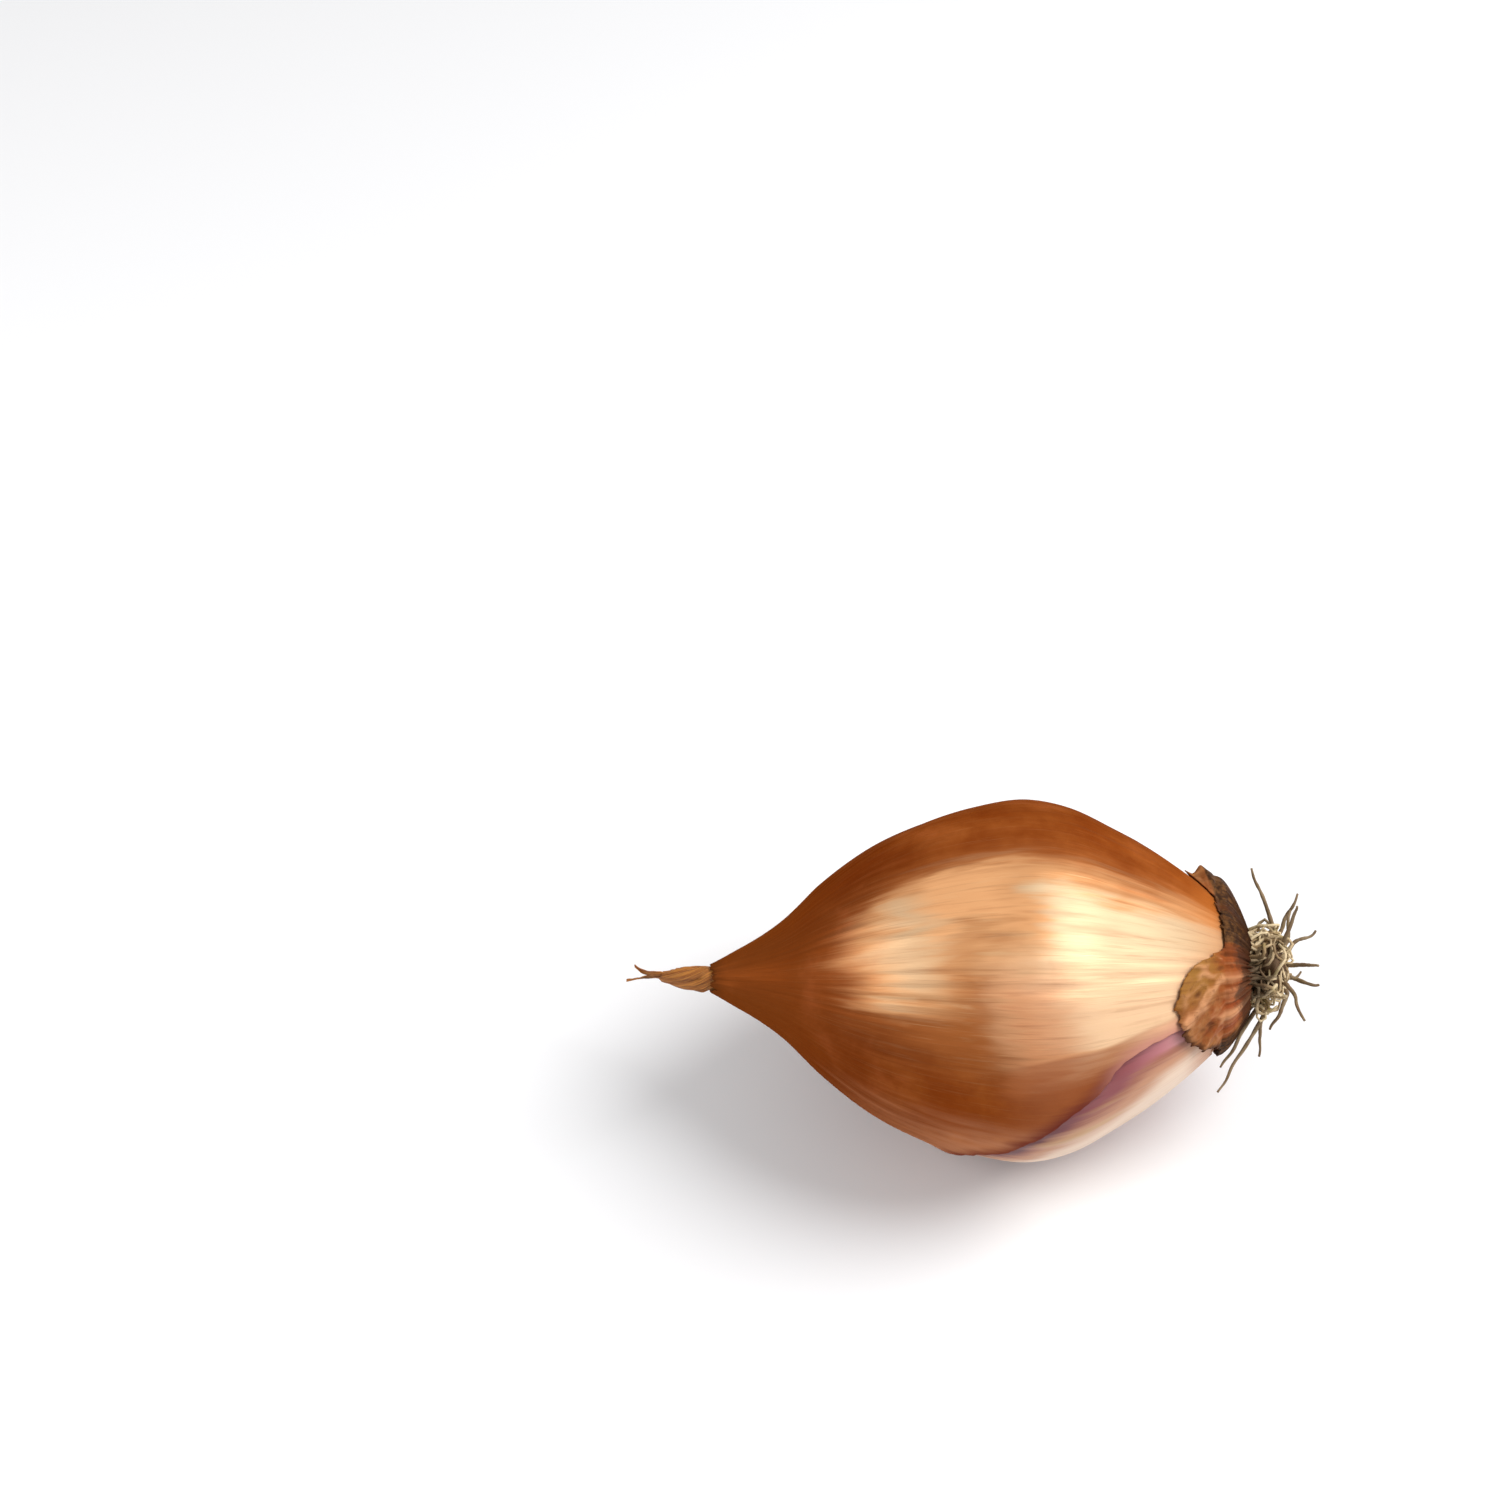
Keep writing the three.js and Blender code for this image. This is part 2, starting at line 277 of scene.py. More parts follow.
def close_ends(piece):
    """Fills the open loops at both ends of a tube."""
    edit_all(piece, "EDGE")
    bpy.ops.mesh.region_to_loop()
    bpy.ops.mesh.edge_face_add()
    leave_edit()


def drawn_rod(name, rings, around):
    """A straight closed rod, 1 long and 1 in radius, drawn out ring by ring along X."""
    piece = new_circle(name, around, 1)
    edit_all(piece)
    for _ in range(rings):
        bpy.ops.mesh.extrude_region_move(TRANSFORM_OT_translate={"value": (1 / rings, 0, 0)})
    leave_edit()
    close_ends(piece)
    face_out(piece)
    return piece


def round_rod(points):
    """Each point's angle round a straight rod's middle, and its distance from it."""
    return np.arctan2(points[:, 2], points[:, 1]), np.hypot(points[:, 1], points[:, 2])


def copy_of(piece, name):
    """A copy with a mesh of its own."""
    double = bpy.data.objects.new(name, piece.data.copy())
    double.data.name = name
    bpy.context.scene.collection.objects.link(double)
    return double


def remove(piece):
    bpy.data.meshes.remove(piece.data)


def joined(name, pieces):
    deselect()
    for piece in pieces:
        piece.select_set(True)
    bpy.context.view_layer.objects.active = pieces[0]
    bpy.ops.object.join()
    pieces[0].name = pieces[0].data.name = name
    return pieces[0]


def across_path(path):
    """Two directions across a path at each of its points, which don't spin round it."""
    heading = np.gradient(path, axis=0)
    heading /= np.linalg.norm(heading, axis=1)[:, None]
    side = np.cross(heading[0], np.eye(3)[np.argmin(abs(heading[0]))])
    sides = []
    for ahead in heading:
        side = side - (side @ ahead) * ahead
        side /= np.linalg.norm(side)
        sides.append(side)
    return np.array(sides), np.cross(heading, sides)


def lay_rod(rod, path, radii):
    """Moves a straight rod onto a path, with a radius at each of the path's points."""
    points = points_of(rod)
    stations = range(len(path))
    place = np.clip(points[:, 0], 0, 1) * (len(path) - 1)

    def at(values):
        return np.stack([np.interp(place, stations, column) for column in values.T], axis=-1)

    side, over = across_path(path)
    radius = np.interp(place, stations, radii)[:, None]
    set_points(rod, at(path) + radius * (points[:, 1:2] * at(side) + points[:, 2:3] * at(over)))


# -------- camera, floor and lights
CAMERA_LENS = 85
CAMERA_DEPTH = 0.4075
CAMERA_NEAREST = 0.01
VIEW_SLANT = math.radians(55)
FRAME_WIDTH = 0.1725
IMAGE_SIZE = 1500
SHALLOT_AT = (975, 981)
MIDDLE = Vector((NECK_X + BULB_LENGTH / 2, AXIS_Y, AXIS_Z))
ROOM_LIGHT = 0.4
SOFTBOX_DISTANCE = 0.45
# Each softbox: where it shines from, its width and height, and its power.
SOFTBOXES = {
    "right_softbox": ((0.62, 0.1, 0.76), (0.32, 0.36), 2.32),
    "left_softbox": ((-0.86, -0.14, 0.49), (0.26, 0.32), 1.05),
}
FLOOR_SIZE = 6


def add_camera():
    """A level camera that looks down, with the shallot low and to the right in the picture."""
    across, down = ((at - IMAGE_SIZE / 2) * FRAME_WIDTH / IMAGE_SIZE for at in SHALLOT_AT)
    tilt = VIEW_SLANT - math.atan(down / CAMERA_DEPTH)
    towards = Vector((0, math.cos(tilt), -math.sin(tilt)))
    up = Vector((0, math.sin(tilt), math.cos(tilt)))
    camera = bpy.data.objects.new("camera", bpy.data.cameras.new("camera"))
    bpy.context.scene.collection.objects.link(camera)
    camera.data.lens = CAMERA_LENS
    camera.data.clip_start = CAMERA_NEAREST
    camera.location = MIDDLE - CAMERA_DEPTH * towards - Vector((across, 0, 0)) + down * up
    camera.rotation_euler = (math.pi / 2 - tilt, 0, 0)
    bpy.context.scene.camera = camera


def add_softbox(name, direction, size, power):
    """An oval light that faces the shallot from a direction."""
    light = bpy.data.lights.new(name, "AREA")
    light.shape = "ELLIPSE"
    light.size, light.size_y = size
    light.energy = power
    lamp = bpy.data.objects.new(name, light)
    bpy.context.scene.collection.objects.link(lamp)
    aim = Vector(direction).normalized()
    lamp.location = MIDDLE + SOFTBOX_DISTANCE * aim
    lamp.rotation_euler = (-aim).to_track_quat("-Z", "Y").to_euler()


def add_room():
    """An even white room."""
    bpy.context.scene.view_settings.view_transform = "Standard"
    world = bpy.data.worlds.new("studio")
    bpy.context.scene.world = world
    world.use_nodes = True
    background = world.node_tree.nodes["Background"]
    background.inputs["Color"].default_value = (1, 1, 1, 1)
    background.inputs["Strength"].default_value = ROOM_LIGHT


def add_floor():
    """A plain pale table top."""
    deselect()
    bpy.ops.mesh.primitive_plane_add(size=FLOOR_SIZE)
    floor = bpy.context.object
    floor.name = "floor"
    material = bpy.data.materials.new("pale_table")
    material.use_nodes = True
    shader = material.node_tree.nodes["Principled BSDF"]
    shader.inputs["Base Color"].default_value = (0.86, 0.86, 0.87, 1)
    shader.inputs["Roughness"].default_value = 0.7
    floor.data.materials.append(material)


add_camera()
add_room()
for name, choice in SOFTBOXES.items():
    add_softbox(name, *choice)
add_floor()


# -------- materials
def linear(value):
    """One channel of a screen's colour, 0 to 255, as an amount of light."""
    value /= 255
    return value / 12.92 if value <= 0.04045 else ((value + 0.055) / 1.055) ** 2.4


def colour(*channels):
    """A screen's colour, as the shader takes it."""
    return (*map(linear, channels), 1)


class Finish:
    """A procedural material, with short ways to add and join its nodes."""

    def __init__(self, name, **sockets):
        self.material = bpy.data.materials.new(name)
        self.material.use_nodes = True
        self.nodes = self.material.node_tree.nodes
        self.shade(**sockets)

    def feed(self, value, socket):
        """Sets a socket to a number or colour, or joins another node's output to it."""
        if isinstance(value, bpy.types.NodeSocket):
            self.material.node_tree.links.new(value, socket)
        else:
            socket.default_value = value

    def node(self, kind, output, inputs, **settings):
        """Adds a node, feeds its inputs and gives one of its outputs."""
        node = self.nodes.new("ShaderNode" + kind)
        for name, value in settings.items():
            setattr(node, name, value)
        for socket, value in inputs.items():
            self.feed(value, node.inputs[socket])
        return node.outputs[output]

    def attribute(self, name, output="Fac"):
        return self.node("Attribute", output, {}, attribute_name=name)

    def object_place(self):
        return self.node("TexCoord", "Object", {})

    def noise(self, vector, scale=1.0, detail=3.0, rough=0.55, warp=0.0):
        look = {"Scale": scale, "Detail": detail, "Roughness": rough, "Distortion": warp}
        return self.node("TexNoise", "Fac", {"Vector": vector, **look})

    def drawn_out(self, grain, across, lengthwise, offset=(0, 0, 0), **look):
        """Noise that is drawn out along the grain."""
        scale = (across, across, lengthwise)
        place = self.node("Mapping", "Vector", {"Vector": grain, "Scale": scale, "Location": offset})
        return self.noise(place, **look)

    def ramp(self, value, low, high, start=0.0, end=1.0):
        """Goes smoothly from start to end as value goes from low to high."""
        limits = {"From Min": low, "From Max": high, "To Min": start, "To Max": end}
        return self.node("MapRange", "Result", {"Value": value, **limits}, interpolation_type="SMOOTHSTEP")

    def reckon(self, kind, first, *others):
        """Adds, multiplies or compares values one after the other."""
        for other in others:
            first = self.node("Math", 0, {0: first, 1: other}, operation=kind)
        return first

    def plus(self, *values):
        return self.reckon("ADD", *values)

    def times(self, *values):
        return self.reckon("MULTIPLY", *values)

    def most(self, *values):
        return self.reckon("MAXIMUM", *values)

    def swing(self, noise, amount):
        """Noise about 0 instead of about a half, made stronger or weaker."""
        return self.times(self.reckon("SUBTRACT", noise, 0.5), amount)

    def part(self, vector, axis):
        return self.node("SeparateXYZ", axis, {0: vector})

    def facing(self, grain, degrees):
        """1 where the surface faces this way round the bulb, 0 a quarter turn away, -1 on the far side."""
        front = self.times(self.part(grain, "X"), math.cos(math.radians(degrees)))
        top = self.times(self.part(grain, "Y"), math.sin(math.radians(degrees)))
        return self.plus(front, top)

    def layers(self, base, *others):
        """A colour with others laid over it in turn. Before each comes the amount of it that shows, or else
        a value, the low and high ends of its ramp, and the amount that shows at the high end."""
        for *shown, over in others:
            amount = shown[0] if len(shown) == 1 else self.ramp(*shown[:3], 0, shown[3])
            under, over = (colour(*tone) if isinstance(tone, tuple) else tone for tone in (base, over))
            base = self.node("Mix", 2, {0: amount, 6: under, 7: over}, data_type="RGBA")
        return base

    def bump(self, height, strength, distance, **below):
        """A bumpy surface, over another one if its Normal is given."""
        look = {"Height": height, "Strength": strength, "Distance": distance}
        return self.node("Bump", "Normal", {**look, **below})

    def shade(self, **sockets):
        for socket, value in sockets.items():
            self.feed(value, self.nodes["Principled BSDF"].inputs[socket.replace("_", " ")])
        return self.material


def papery_skin():
    """Copper skin with soft lengthwise streaks and veins, and a satin gloss. Its colour carries painted
    light:
    painted shade round the back and, with its own darker colour, towards the neck; a golden band that is
    partly its own colour and partly painted light; painted highlights, pale to cream, on the lit side; and a
    pale strip of painted light from the table along the belly."""
    sheen = colour(255, 190, 130)
    finish = Finish("papery_skin", Metallic=0.3, Specular_IOR_Level=0.0, Specular_Tint=sheen)
    grain = finish.attribute("grain", "Vector")
    fold = finish.attribute("fold")
    torn = finish.attribute("torn")
    along = finish.part(grain, "Z")
    broad = finish.drawn_out(grain, 3, 3, warp=0.4)
    streaks = finish.drawn_out(grain, 16, 5, (3, 1, 0), detail=4, warp=0.2)
    lines = finish.drawn_out(grain, 52, 6, (7, 2, 4))
    fine = finish.drawn_out(grain, 120, 9, (1, 5, 2), detail=2)
    patches = finish.noise(finish.object_place(), scale=110, detail=4, rough=0.6)
    uneven = finish.plus(finish.swing(broad, 0.7), finish.swing(streaks, 0.4))
    place = finish.plus(along, finish.times(uneven, 0.25))

    def stretch(*ends):
        return finish.ramp(place, *ends)

    def band(degrees, edge, middle):
        """Rises unevenly from 0 to 1 towards the lengthwise line that faces this way."""
        facing = finish.plus(finish.facing(grain, degrees), finish.times(uneven, 0.3))
        return finish.ramp(facing, edge, middle)

    # A broad golden band on the side that faces the lights: partly the skin's own golden colour, partly
    # painted light.
    golden = finish.times(band(62, 0.7, 0.92), stretch(0.12, 0.55))
    # Painted highlights where the softboxes' gloss falls: pale zones on the root half, on the neck half and
    # between them, then their brightest cores.
    root_half_highlight = finish.times(band(57, 0.79, 0.93), stretch(0.46, 0.64))
    neck_half_highlight = finish.times(band(66, 0.86, 0.98), stretch(0.56, 0.36), stretch(0.18, 0.36, 0, 0.75))
    between = finish.times(band(75, 0.89, 1.0), stretch(0.26, 0.46, 0, 0.6))
    pale = finish.most(root_half_highlight, neck_half_highlight, between)
    highlight_core = finish.most(finish.times(root_half_highlight, stretch(0.48, 0.66)), neck_half_highlight)
    # Painted highlight: paler, creamier skin lower down on the root half, where the light falls.
    low_cream_highlight = finish.times(root_half_highlight, finish.ramp(finish.facing(grain, 32), 0.76, 0.96, 0, 0.8))
    warm = finish.times(finish.ramp(finish.facing(grain, 38), 0.91, 1.0, 0, 0.6), stretch(0.5, 0.57))
    warm = finish.times(warm, stretch(0.7, 0.61))
    # Painted highlight: a small bright spot on the neck half.
    highlight_spot = finish.times(band(79, 0.965, 1.0), stretch(0.36, 0.44), stretch(0.62, 0.52), 0.55)
    # Below the fold, at the front only, the skin is browner and darkened with painted shade, growing paler
    # and pinker towards the root end.
    browner_and_shaded_below_fold = finish.times(finish.ramp(fold, 0.3, -0.3), finish.ramp(along, 0.5, 0.62, 0, 0.6))
    browner_and_shaded_below_fold = finish.times(browner_and_shaded_below_fold, finish.ramp(finish.facing(grain, 0), 0.3, 0.75))
    fold_shade_and_tone = finish.layers((156, 90, 58), (along, 0.72, 0.84, 1, (208, 148, 116)))
    # Painted light thrown up by the table: a pale strip along the belly of the neck half.
    belly = finish.times(band(-28, 0.78, 1.0), stretch(0.2, 0.52, 0, 0.75))
    thin_edge = finish.plus(torn, finish.times(streaks, 2.2))
    stain = finish.layers((102, 42, 42), (along, 0.67, 0.8, 1, (204, 142, 126)))
    # Pale grain streaks and lines that show only inside the painted light, breaking the painted highlight
    # into streaks.
    pale_streaks = finish.times(finish.ramp(streaks, 0.46, 0.28, 0, 0.3), golden)
    pale_lines = finish.times(finish.ramp(fine, 0.55, 0.75, 0, 0.16), finish.ramp(golden, 0, 1, 0.3, 1))
    base = finish.layers(
        (130, 60, 20),
        (patches, 0.35, 0.7, 1, (156, 84, 36)),
        # Darker towards the neck: partly the skin's own colour, partly painted shade.
        (place, 0.46, 0.26, 0.75, (98, 38, 8)),
        # Painted shade round the back.
        (finish.facing(grain, 155), 0.72, 1.0, 0.6, (92, 34, 8)),
        # From here on, painted light and painted highlights are laid over the skin.
        (golden, (172, 102, 54)),
        (pale, 0, 0.7, 1, (206, 150, 102)),
        (highlight_core, 0.4, 1.0, 1, (206, 178, 142)),
        (low_cream_highlight, (250, 206, 164)),
        (warm, (212, 134, 86)),
        (highlight_spot, (240, 178, 124)),
        (patches, 0.55, 0.75, 0.2, (186, 100, 62)),
        (streaks, 0.52, 0.75, 0.24, (138, 68, 32)),
        (pale_streaks, (232, 196, 150)),
        (lines, 0.54, 0.72, 0.2, (104, 48, 22)),
        (pale_lines, (238, 198, 146)),
        (along, 0.3, 0.08, 0.5, (122, 64, 24)),
        (along, 0.84, 0.97, 0.5, (206, 122, 56)),
        # Browner skin below the fold, with painted shade.
        (browner_and_shaded_below_fold, fold_shade_and_tone),
        # Painted light from the table along the belly.
        (belly, (192, 136, 104)),
        (thin_edge, 3.4, 1.0, 0.85, stain),
        (along, 0.035, 0.0, 0.6, (84, 44, 18)),
    )
    ribs = finish.plus(finish.times(streaks, 0.6), finish.times(lines, 0.4))
    normal = finish.bump(ribs, 0.25, 0.25 * MM)
    normal = finish.bump(fine, 0.2, 0.06 * MM, Normal=normal)
    normal = finish.bump(finish.ramp(fold, -0.3, 0.3), 0.5, 0.12 * MM, Normal=normal)
    return finish.shade(Base_Color=base, Roughness=finish.ramp(streaks, 0.3, 0.7, 0.4, 0.5), Normal=normal)


def moist_flesh():
    """The bulb's fleshy scale: purple by the torn edge, darkest at the rim with painted shadow from the
    skin's edge, going over to tan and to a cream that is partly its own colour and partly painted light from
    the table, with fine veins.
    """
    finish = Finish("moist_flesh", Roughness=0.4, Specular_IOR_Level=0.3)
    grain = finish.attribute("grain", "Vector")
    along = finish.part(grain, "Z")
    veins = finish.drawn_out(grain, 30, 2.5, detail=4, rough=0.6)
    tint = finish.drawn_out(grain, 6, 4, (2, 0, 1))
    inward = finish.plus(finish.attribute("bare"), finish.times(tint, 2.4), finish.swing(veins, 2.5))
    inward = finish.times(inward, finish.ramp(along, 0.76, 0.62, 1, 1.5))
    purple = finish.layers(
        (98, 40, 48),
        (along, 0.6, 0.72, 1, (136, 62, 68)),
        # Pinker and paler towards the root end; the palest step, by the collar, is partly painted light
        # against the collar's shadow.
        (along, 0.74, 0.86, 1, (190, 120, 126)),
        (along, 0.82, 0.9, 1, (222, 158, 156)),
        # Darkest right at the rim: painted shadow under the skin's torn edge.
        (inward, 2.6, 1.0, 0.5, (92, 42, 46)),
    )
    base = finish.layers(
        (158, 94, 72),
        # Tan, then cream further from the rim; the cream is partly the flesh's own colour and partly painted
        # light thrown up by the table.
        (inward, 4.8, 7.2, 1, (196, 140, 106)),
        (inward, 7.2, 11, 1, (236, 208, 184)),
        (veins, 0.5, 0.75, 0.35, (186, 130, 92)),
        (tint, 0.52, 0.7, 0.3, (200, 166, 100)),
        (inward, 5.4, 3.4, 0.95, purple),
        (veins, 0.55, 0.75, 0.22, (120, 62, 60)),
    )
    return finish.shade(Base_Color=base, Normal=finish.bump(veins, 0.2, 0.12 * MM))


def old_paper():
    """An older, weathered skin: ochre and rust facets, with painted light on the ridges of its creases and
    painted shade in the hollows between them, dark and rough by the roots, and darker with painted shade
    where it turns in to the plate.
    """
    finish = Finish("old_paper", Metallic=0.12, Specular_IOR_Level=0.1)
    grain = finish.attribute("grain", "Vector")
    streaks = finish.drawn_out(grain, 30, 8, detail=4)
    fine = finish.drawn_out(grain, 90, 14, (2, 4, 1))
    patches = finish.noise(finish.object_place(), scale=330, detail=4, rough=0.6)
    mottle = finish.noise(finish.object_place(), scale=1100, detail=4, rough=0.65)
    uneven = finish.swing(patches, 0.5)
    high = finish.plus(finish.facing(grain, 70), finish.times(uneven, 0.5))
    inner = finish.plus(finish.part(grain, "Z"), finish.times(uneven, 0.2))
    rusty = finish.ramp(finish.facing(grain, 45), 0.7, 0.9)
    rusty = finish.times(rusty, finish.ramp(inner, 0.9, 0.96, 0, 0.8))
    # Painted light on the raised ridges and painted shade in the lowered facets, from the crumpled shape.
    crease = finish.plus(finish.attribute("crease"), finish.times(uneven, 0.7))
    edge = finish.plus(finish.attribute("edge"), finish.times(mottle, 1.6))
    crown = finish.plus(finish.attribute("crown"), uneven)
    dark = finish.layers(
        (48, 28, 14),
        (mottle, 0.4, 0.65, 1, (104, 68, 34)),
        (streaks, 0.5, 0.7, 0.5, (48, 28, 14)),
    )
    base = finish.layers(
        (160, 106, 60),
        (patches, 0.35, 0.65, 1, (140, 80, 38)),
        (high, 0.84, 0.96, 0.85, (150, 104, 42)),
        (rusty, (140, 60, 24)),
        # Painted light on the ridges, then painted shade in the hollows.
        (crease, 0.5, 0.95, 0.7, (208, 150, 106)),
        (crease, 0.42, 0.1, 0.75, (80, 38, 16)),
        (streaks, 0.5, 0.72, 0.4, (106, 58, 28)),
        (mottle, 0.56, 0.7, 0.35, (84, 44, 20)),
        (edge, 1.9, 1.0, 0.85, (72, 36, 14)),
        (crown, 0.35, 0.8, 0.95, dark),
        # Painted shade where the skin turns in under the roots to the plate.
        (inner, 0.97, 0.99, 0.8, (56, 32, 18)),
        (fine, 0.58, 0.75, 0.2, (180, 130, 82)),
    )
    normal = finish.bump(finish.plus(streaks, fine), 0.35, 0.12 * MM)
    normal = finish.bump(mottle, 0.6, 0.12 * MM, Normal=normal)
    return finish.shade(Base_Color=base, Roughness=finish.ramp(fine, 0.3, 0.7, 0.55, 0.75), Normal=normal)


def cork():
    """The root plate: dark, dry cork with pits and cracks."""
    finish = Finish("cork", Roughness=0.88)
    place = finish.object_place()
    grit = finish.noise(place, scale=1500, detail=5, rough=0.7)
    base = finish.layers(
        (58, 40, 24),
        (finish.noise(place, scale=500), 0.35, 0.65, 1, (104, 76, 48)),
        (grit, 0.55, 0.75, 0.6, (150, 122, 84)),
    )
    return finish.shade(Base_Color=base, Normal=finish.bump(grit, 0.8, 0.2 * MM))


def dry_root():
    """Dried roots, beige to olive and brown, with fine shrivelled wrinkles, painted shade where they crowd
    together, and an uneven darker tone on the free roots.
    """
    finish = Finish("dry_root", Roughness=0.72, Specular_IOR_Level=0.3)
    place = finish.object_place()
    wrinkles = finish.noise(place, scale=3200)
    base = finish.layers(
        (146, 116, 78),
        (finish.attribute("tone"), (232, 210, 170)),
        (finish.noise(place, scale=700), 0.5, 0.7, 0.6, (142, 126, 70)),
        (wrinkles, 0.55, 0.75, 0.5, (70, 54, 36)),
        # Painted shade deep in the mat; on the free roots, an uneven darker tone.
        (finish.attribute("depth"), (84, 60, 40)),
    )
    return finish.shade(Base_Color=base, Normal=finish.bump(wrinkles, 0.6, 0.08 * MM))


def withered_leaf():
    """Dead leaf bases: rusty ochre with dark fibres between pale ribs."""
    finish = Finish("withered_leaf", Specular_IOR_Level=0.35)
    fibre = finish.attribute("fibre", "Vector")
    ribs = finish.drawn_out(fibre, 9, 1.2, detail=4)
    fine = finish.drawn_out(fibre, 34, 4, (1, 2, 5))
    stains = finish.noise(finish.object_place(), scale=420)
    base = finish.layers(
        (122, 64, 20),
        (ribs, 0.35, 0.68, 1, (194, 124, 48)),
        (fine, 0.52, 0.72, 0.6, (82, 40, 14)),
        (fine, 0.45, 0.28, 0.4, (222, 168, 92)),
        (stains, 0.55, 0.7, 0.5, (88, 58, 18)),
    )
    normal = finish.bump(finish.plus(ribs, fine), 0.6, 0.15 * MM)
    return finish.shade(Base_Color=base, Roughness=finish.ramp(fine, 0.3, 0.7, 0.5, 0.72), Normal=normal)


# -------- skin and bulb
SUBDIVISIONS = 3
SKIN_AROUND = 48
SKIN_RINGS = 15
SKIN_END = 0.975
SKIN_THICKNESS = 0.16 * MM
BULB_AROUND = 32
BULB_RINGS = 12
BULB_SHARES = (0.055, 0.97)
BULB_GAP = 0.12 * MM
SOFT_EDGE = 0.15 * MM
# Attributes that hold a distance in millimetres go no further than this one.
FAR = 9

# Ribs and dents: for each, its first band's seed, the range of waves round the bulb, and the height.
BANDS = 6
RIB_SEED, RIB_WAVES, RIB_HEIGHT = 11, (14, 90), 0.045 * MM
DENT_SEED, DENT_WAVES, DENT_HEIGHT = 41, (1, 7), 0.28 * MM
PUCKER_HEIGHT = 0.1 * MM
PLEAT_HEIGHT = 0.05 * MM

# The torn place: points of its rim, as millimetres from the widest place and degrees round from the front.
TEAR_RIM = [
    (26.5, 38), (21, 33), (16.6, 30.3), (12.4, 27.8), (8.7, 22.8), (6.2, 13.5), (2.9, 7.5), (0, -0.6),
    (-3.2, -11), (-6.4, -19.5), (-9, -30), (-8.4, -42), (-2.5, -56), (4.0, -66), (10, -74), (16, -82),
    (21, -96), (26.5, -112),
]
# A soft fold over the tear, with the skin below it browner and darkened with painted shade: millimetres from
# the widest place, and degrees.
FOLD = np.array([
    (-30, 14), (-12, 22), (-4.6, 27), (-0.2, 29.9), (3.1, 31.3), (7.3, 31.9), (12, 34.6), (25, 41),
])
RIM_STEP = 0.25 * MM
RIM_FRAY = 0.32 * MM
FINE_FRAY = 1.1 * MM
BROAD_FRAY = 3.5 * MM
# Open edges this near to the rim are drawn onto it.
RIM_CATCH = 1.5 * MM
# Where the bulb is cut to lay it flat, away from the torn place.
FLAT_CUT = math.radians(120)
EDGE_LIFT = 0.32 * MM
EDGE_LIFTED = 2.2 * MM
NECK_FRAY = 0.014
NECK_FRAYED = 0.06
NECK_PINCH = 0.3 * MM


def wave_series(seed, lowest, highest):
    """A height round the bulb: a sum of waves that runs on where it meets itself."""
    waves = np.random.default_rng(seed)
    counts = np.arange(lowest, highest)
    sizes = waves.normal(size=len(counts)) / np.sqrt(len(counts))
    turns = waves.uniform(0, 2 * math.pi, len(counts))
    return lambda angle: (sizes * np.cos(np.multiply.outer(angle, counts) + turns)).sum(axis=-1)


RIBS = [wave_series(RIB_SEED + band, *RIB_WAVES) for band in range(BANDS)]
DENTS = [wave_series(DENT_SEED + band, *DENT_WAVES) for band in range(BANDS)]


def bands(series, along, angle):
    """Goes from one height round the bulb to the next along its length."""
    place = np.clip(along, 0, 1) * (len(series) - 1)
    return sum(np.clip(1 - abs(place - k), 0, 1) * wave(angle) for k, wave in enumerate(series))


def skin_height(along, angle):
    """How far the skin stands out from the smooth form: ribs, dents and the puckers of the neck."""
    ribs = RIB_HEIGHT * bands(RIBS, along, angle) * smooth_step(0, 0.3, along)
    away_from_ends = smooth_step(0, 0.35, along) * smooth_step(1, 0.85, along)
    dents = DENT_HEIGHT * bands(DENTS, along, angle) * away_from_ends
    puckers = PUCKER_HEIGHT * around_noise(angle, 4, 6 * along) * smooth_step(0.32, 0.05, along)
    puckers += PLEAT_HEIGHT * np.cos(11 * angle + 9 * along) * smooth_step(0.16, 0.0, along)
    return ribs + dents + puckers


def rest_on_table(points, height):
    """Flattens the belly where it meets the table, with a soft bend at the flat's edge."""
    low = points[..., 2] - height
    bent = (low + SOFT_EDGE) ** 2 / (4 * SOFT_EDGE)
    points[..., 2] = height + np.where(low > SOFT_EDGE, low, np.where(low < -SOFT_EDGE, 0, bent))
    return points


def tear_rim():
    """The rim as close points: metres along from the widest place, and round at the widest radius."""
    points = np.array([(x * MM, math.radians(angle) * RADIUS) for x, angle in TEAR_RIM])
    from_start = np.append(0, np.hypot(*np.diff(points, axis=0).T).cumsum())
    steps = np.arange(0, from_start[-1], RIM_STEP)
    curve = np.stack([curve_through(from_start, points[:, side], steps) for side in (0, 1)], axis=-1)
    heading = np.gradient(curve, axis=0)
    heading /= np.hypot(*heading.T)[:, None]
    fray = noise_at(steps / FINE_FRAY, 3.7, 0) + 0.8 * noise_at(steps / BROAD_FRAY, 9.2, 0)
    return curve + RIM_FRAY * fray[:, None] * np.stack([-heading[:, 1], heading[:, 0]], axis=-1)


RIM = tear_rim()


def flat_place(along, angle):
    """The bulb laid flat: metres along from the widest place, and metres round at the widest radius."""
    turned = np.where(angle > FLAT_CUT, angle - 2 * math.pi, angle)
    return np.stack([from_widest(along), turned * RADIUS], axis=-1)


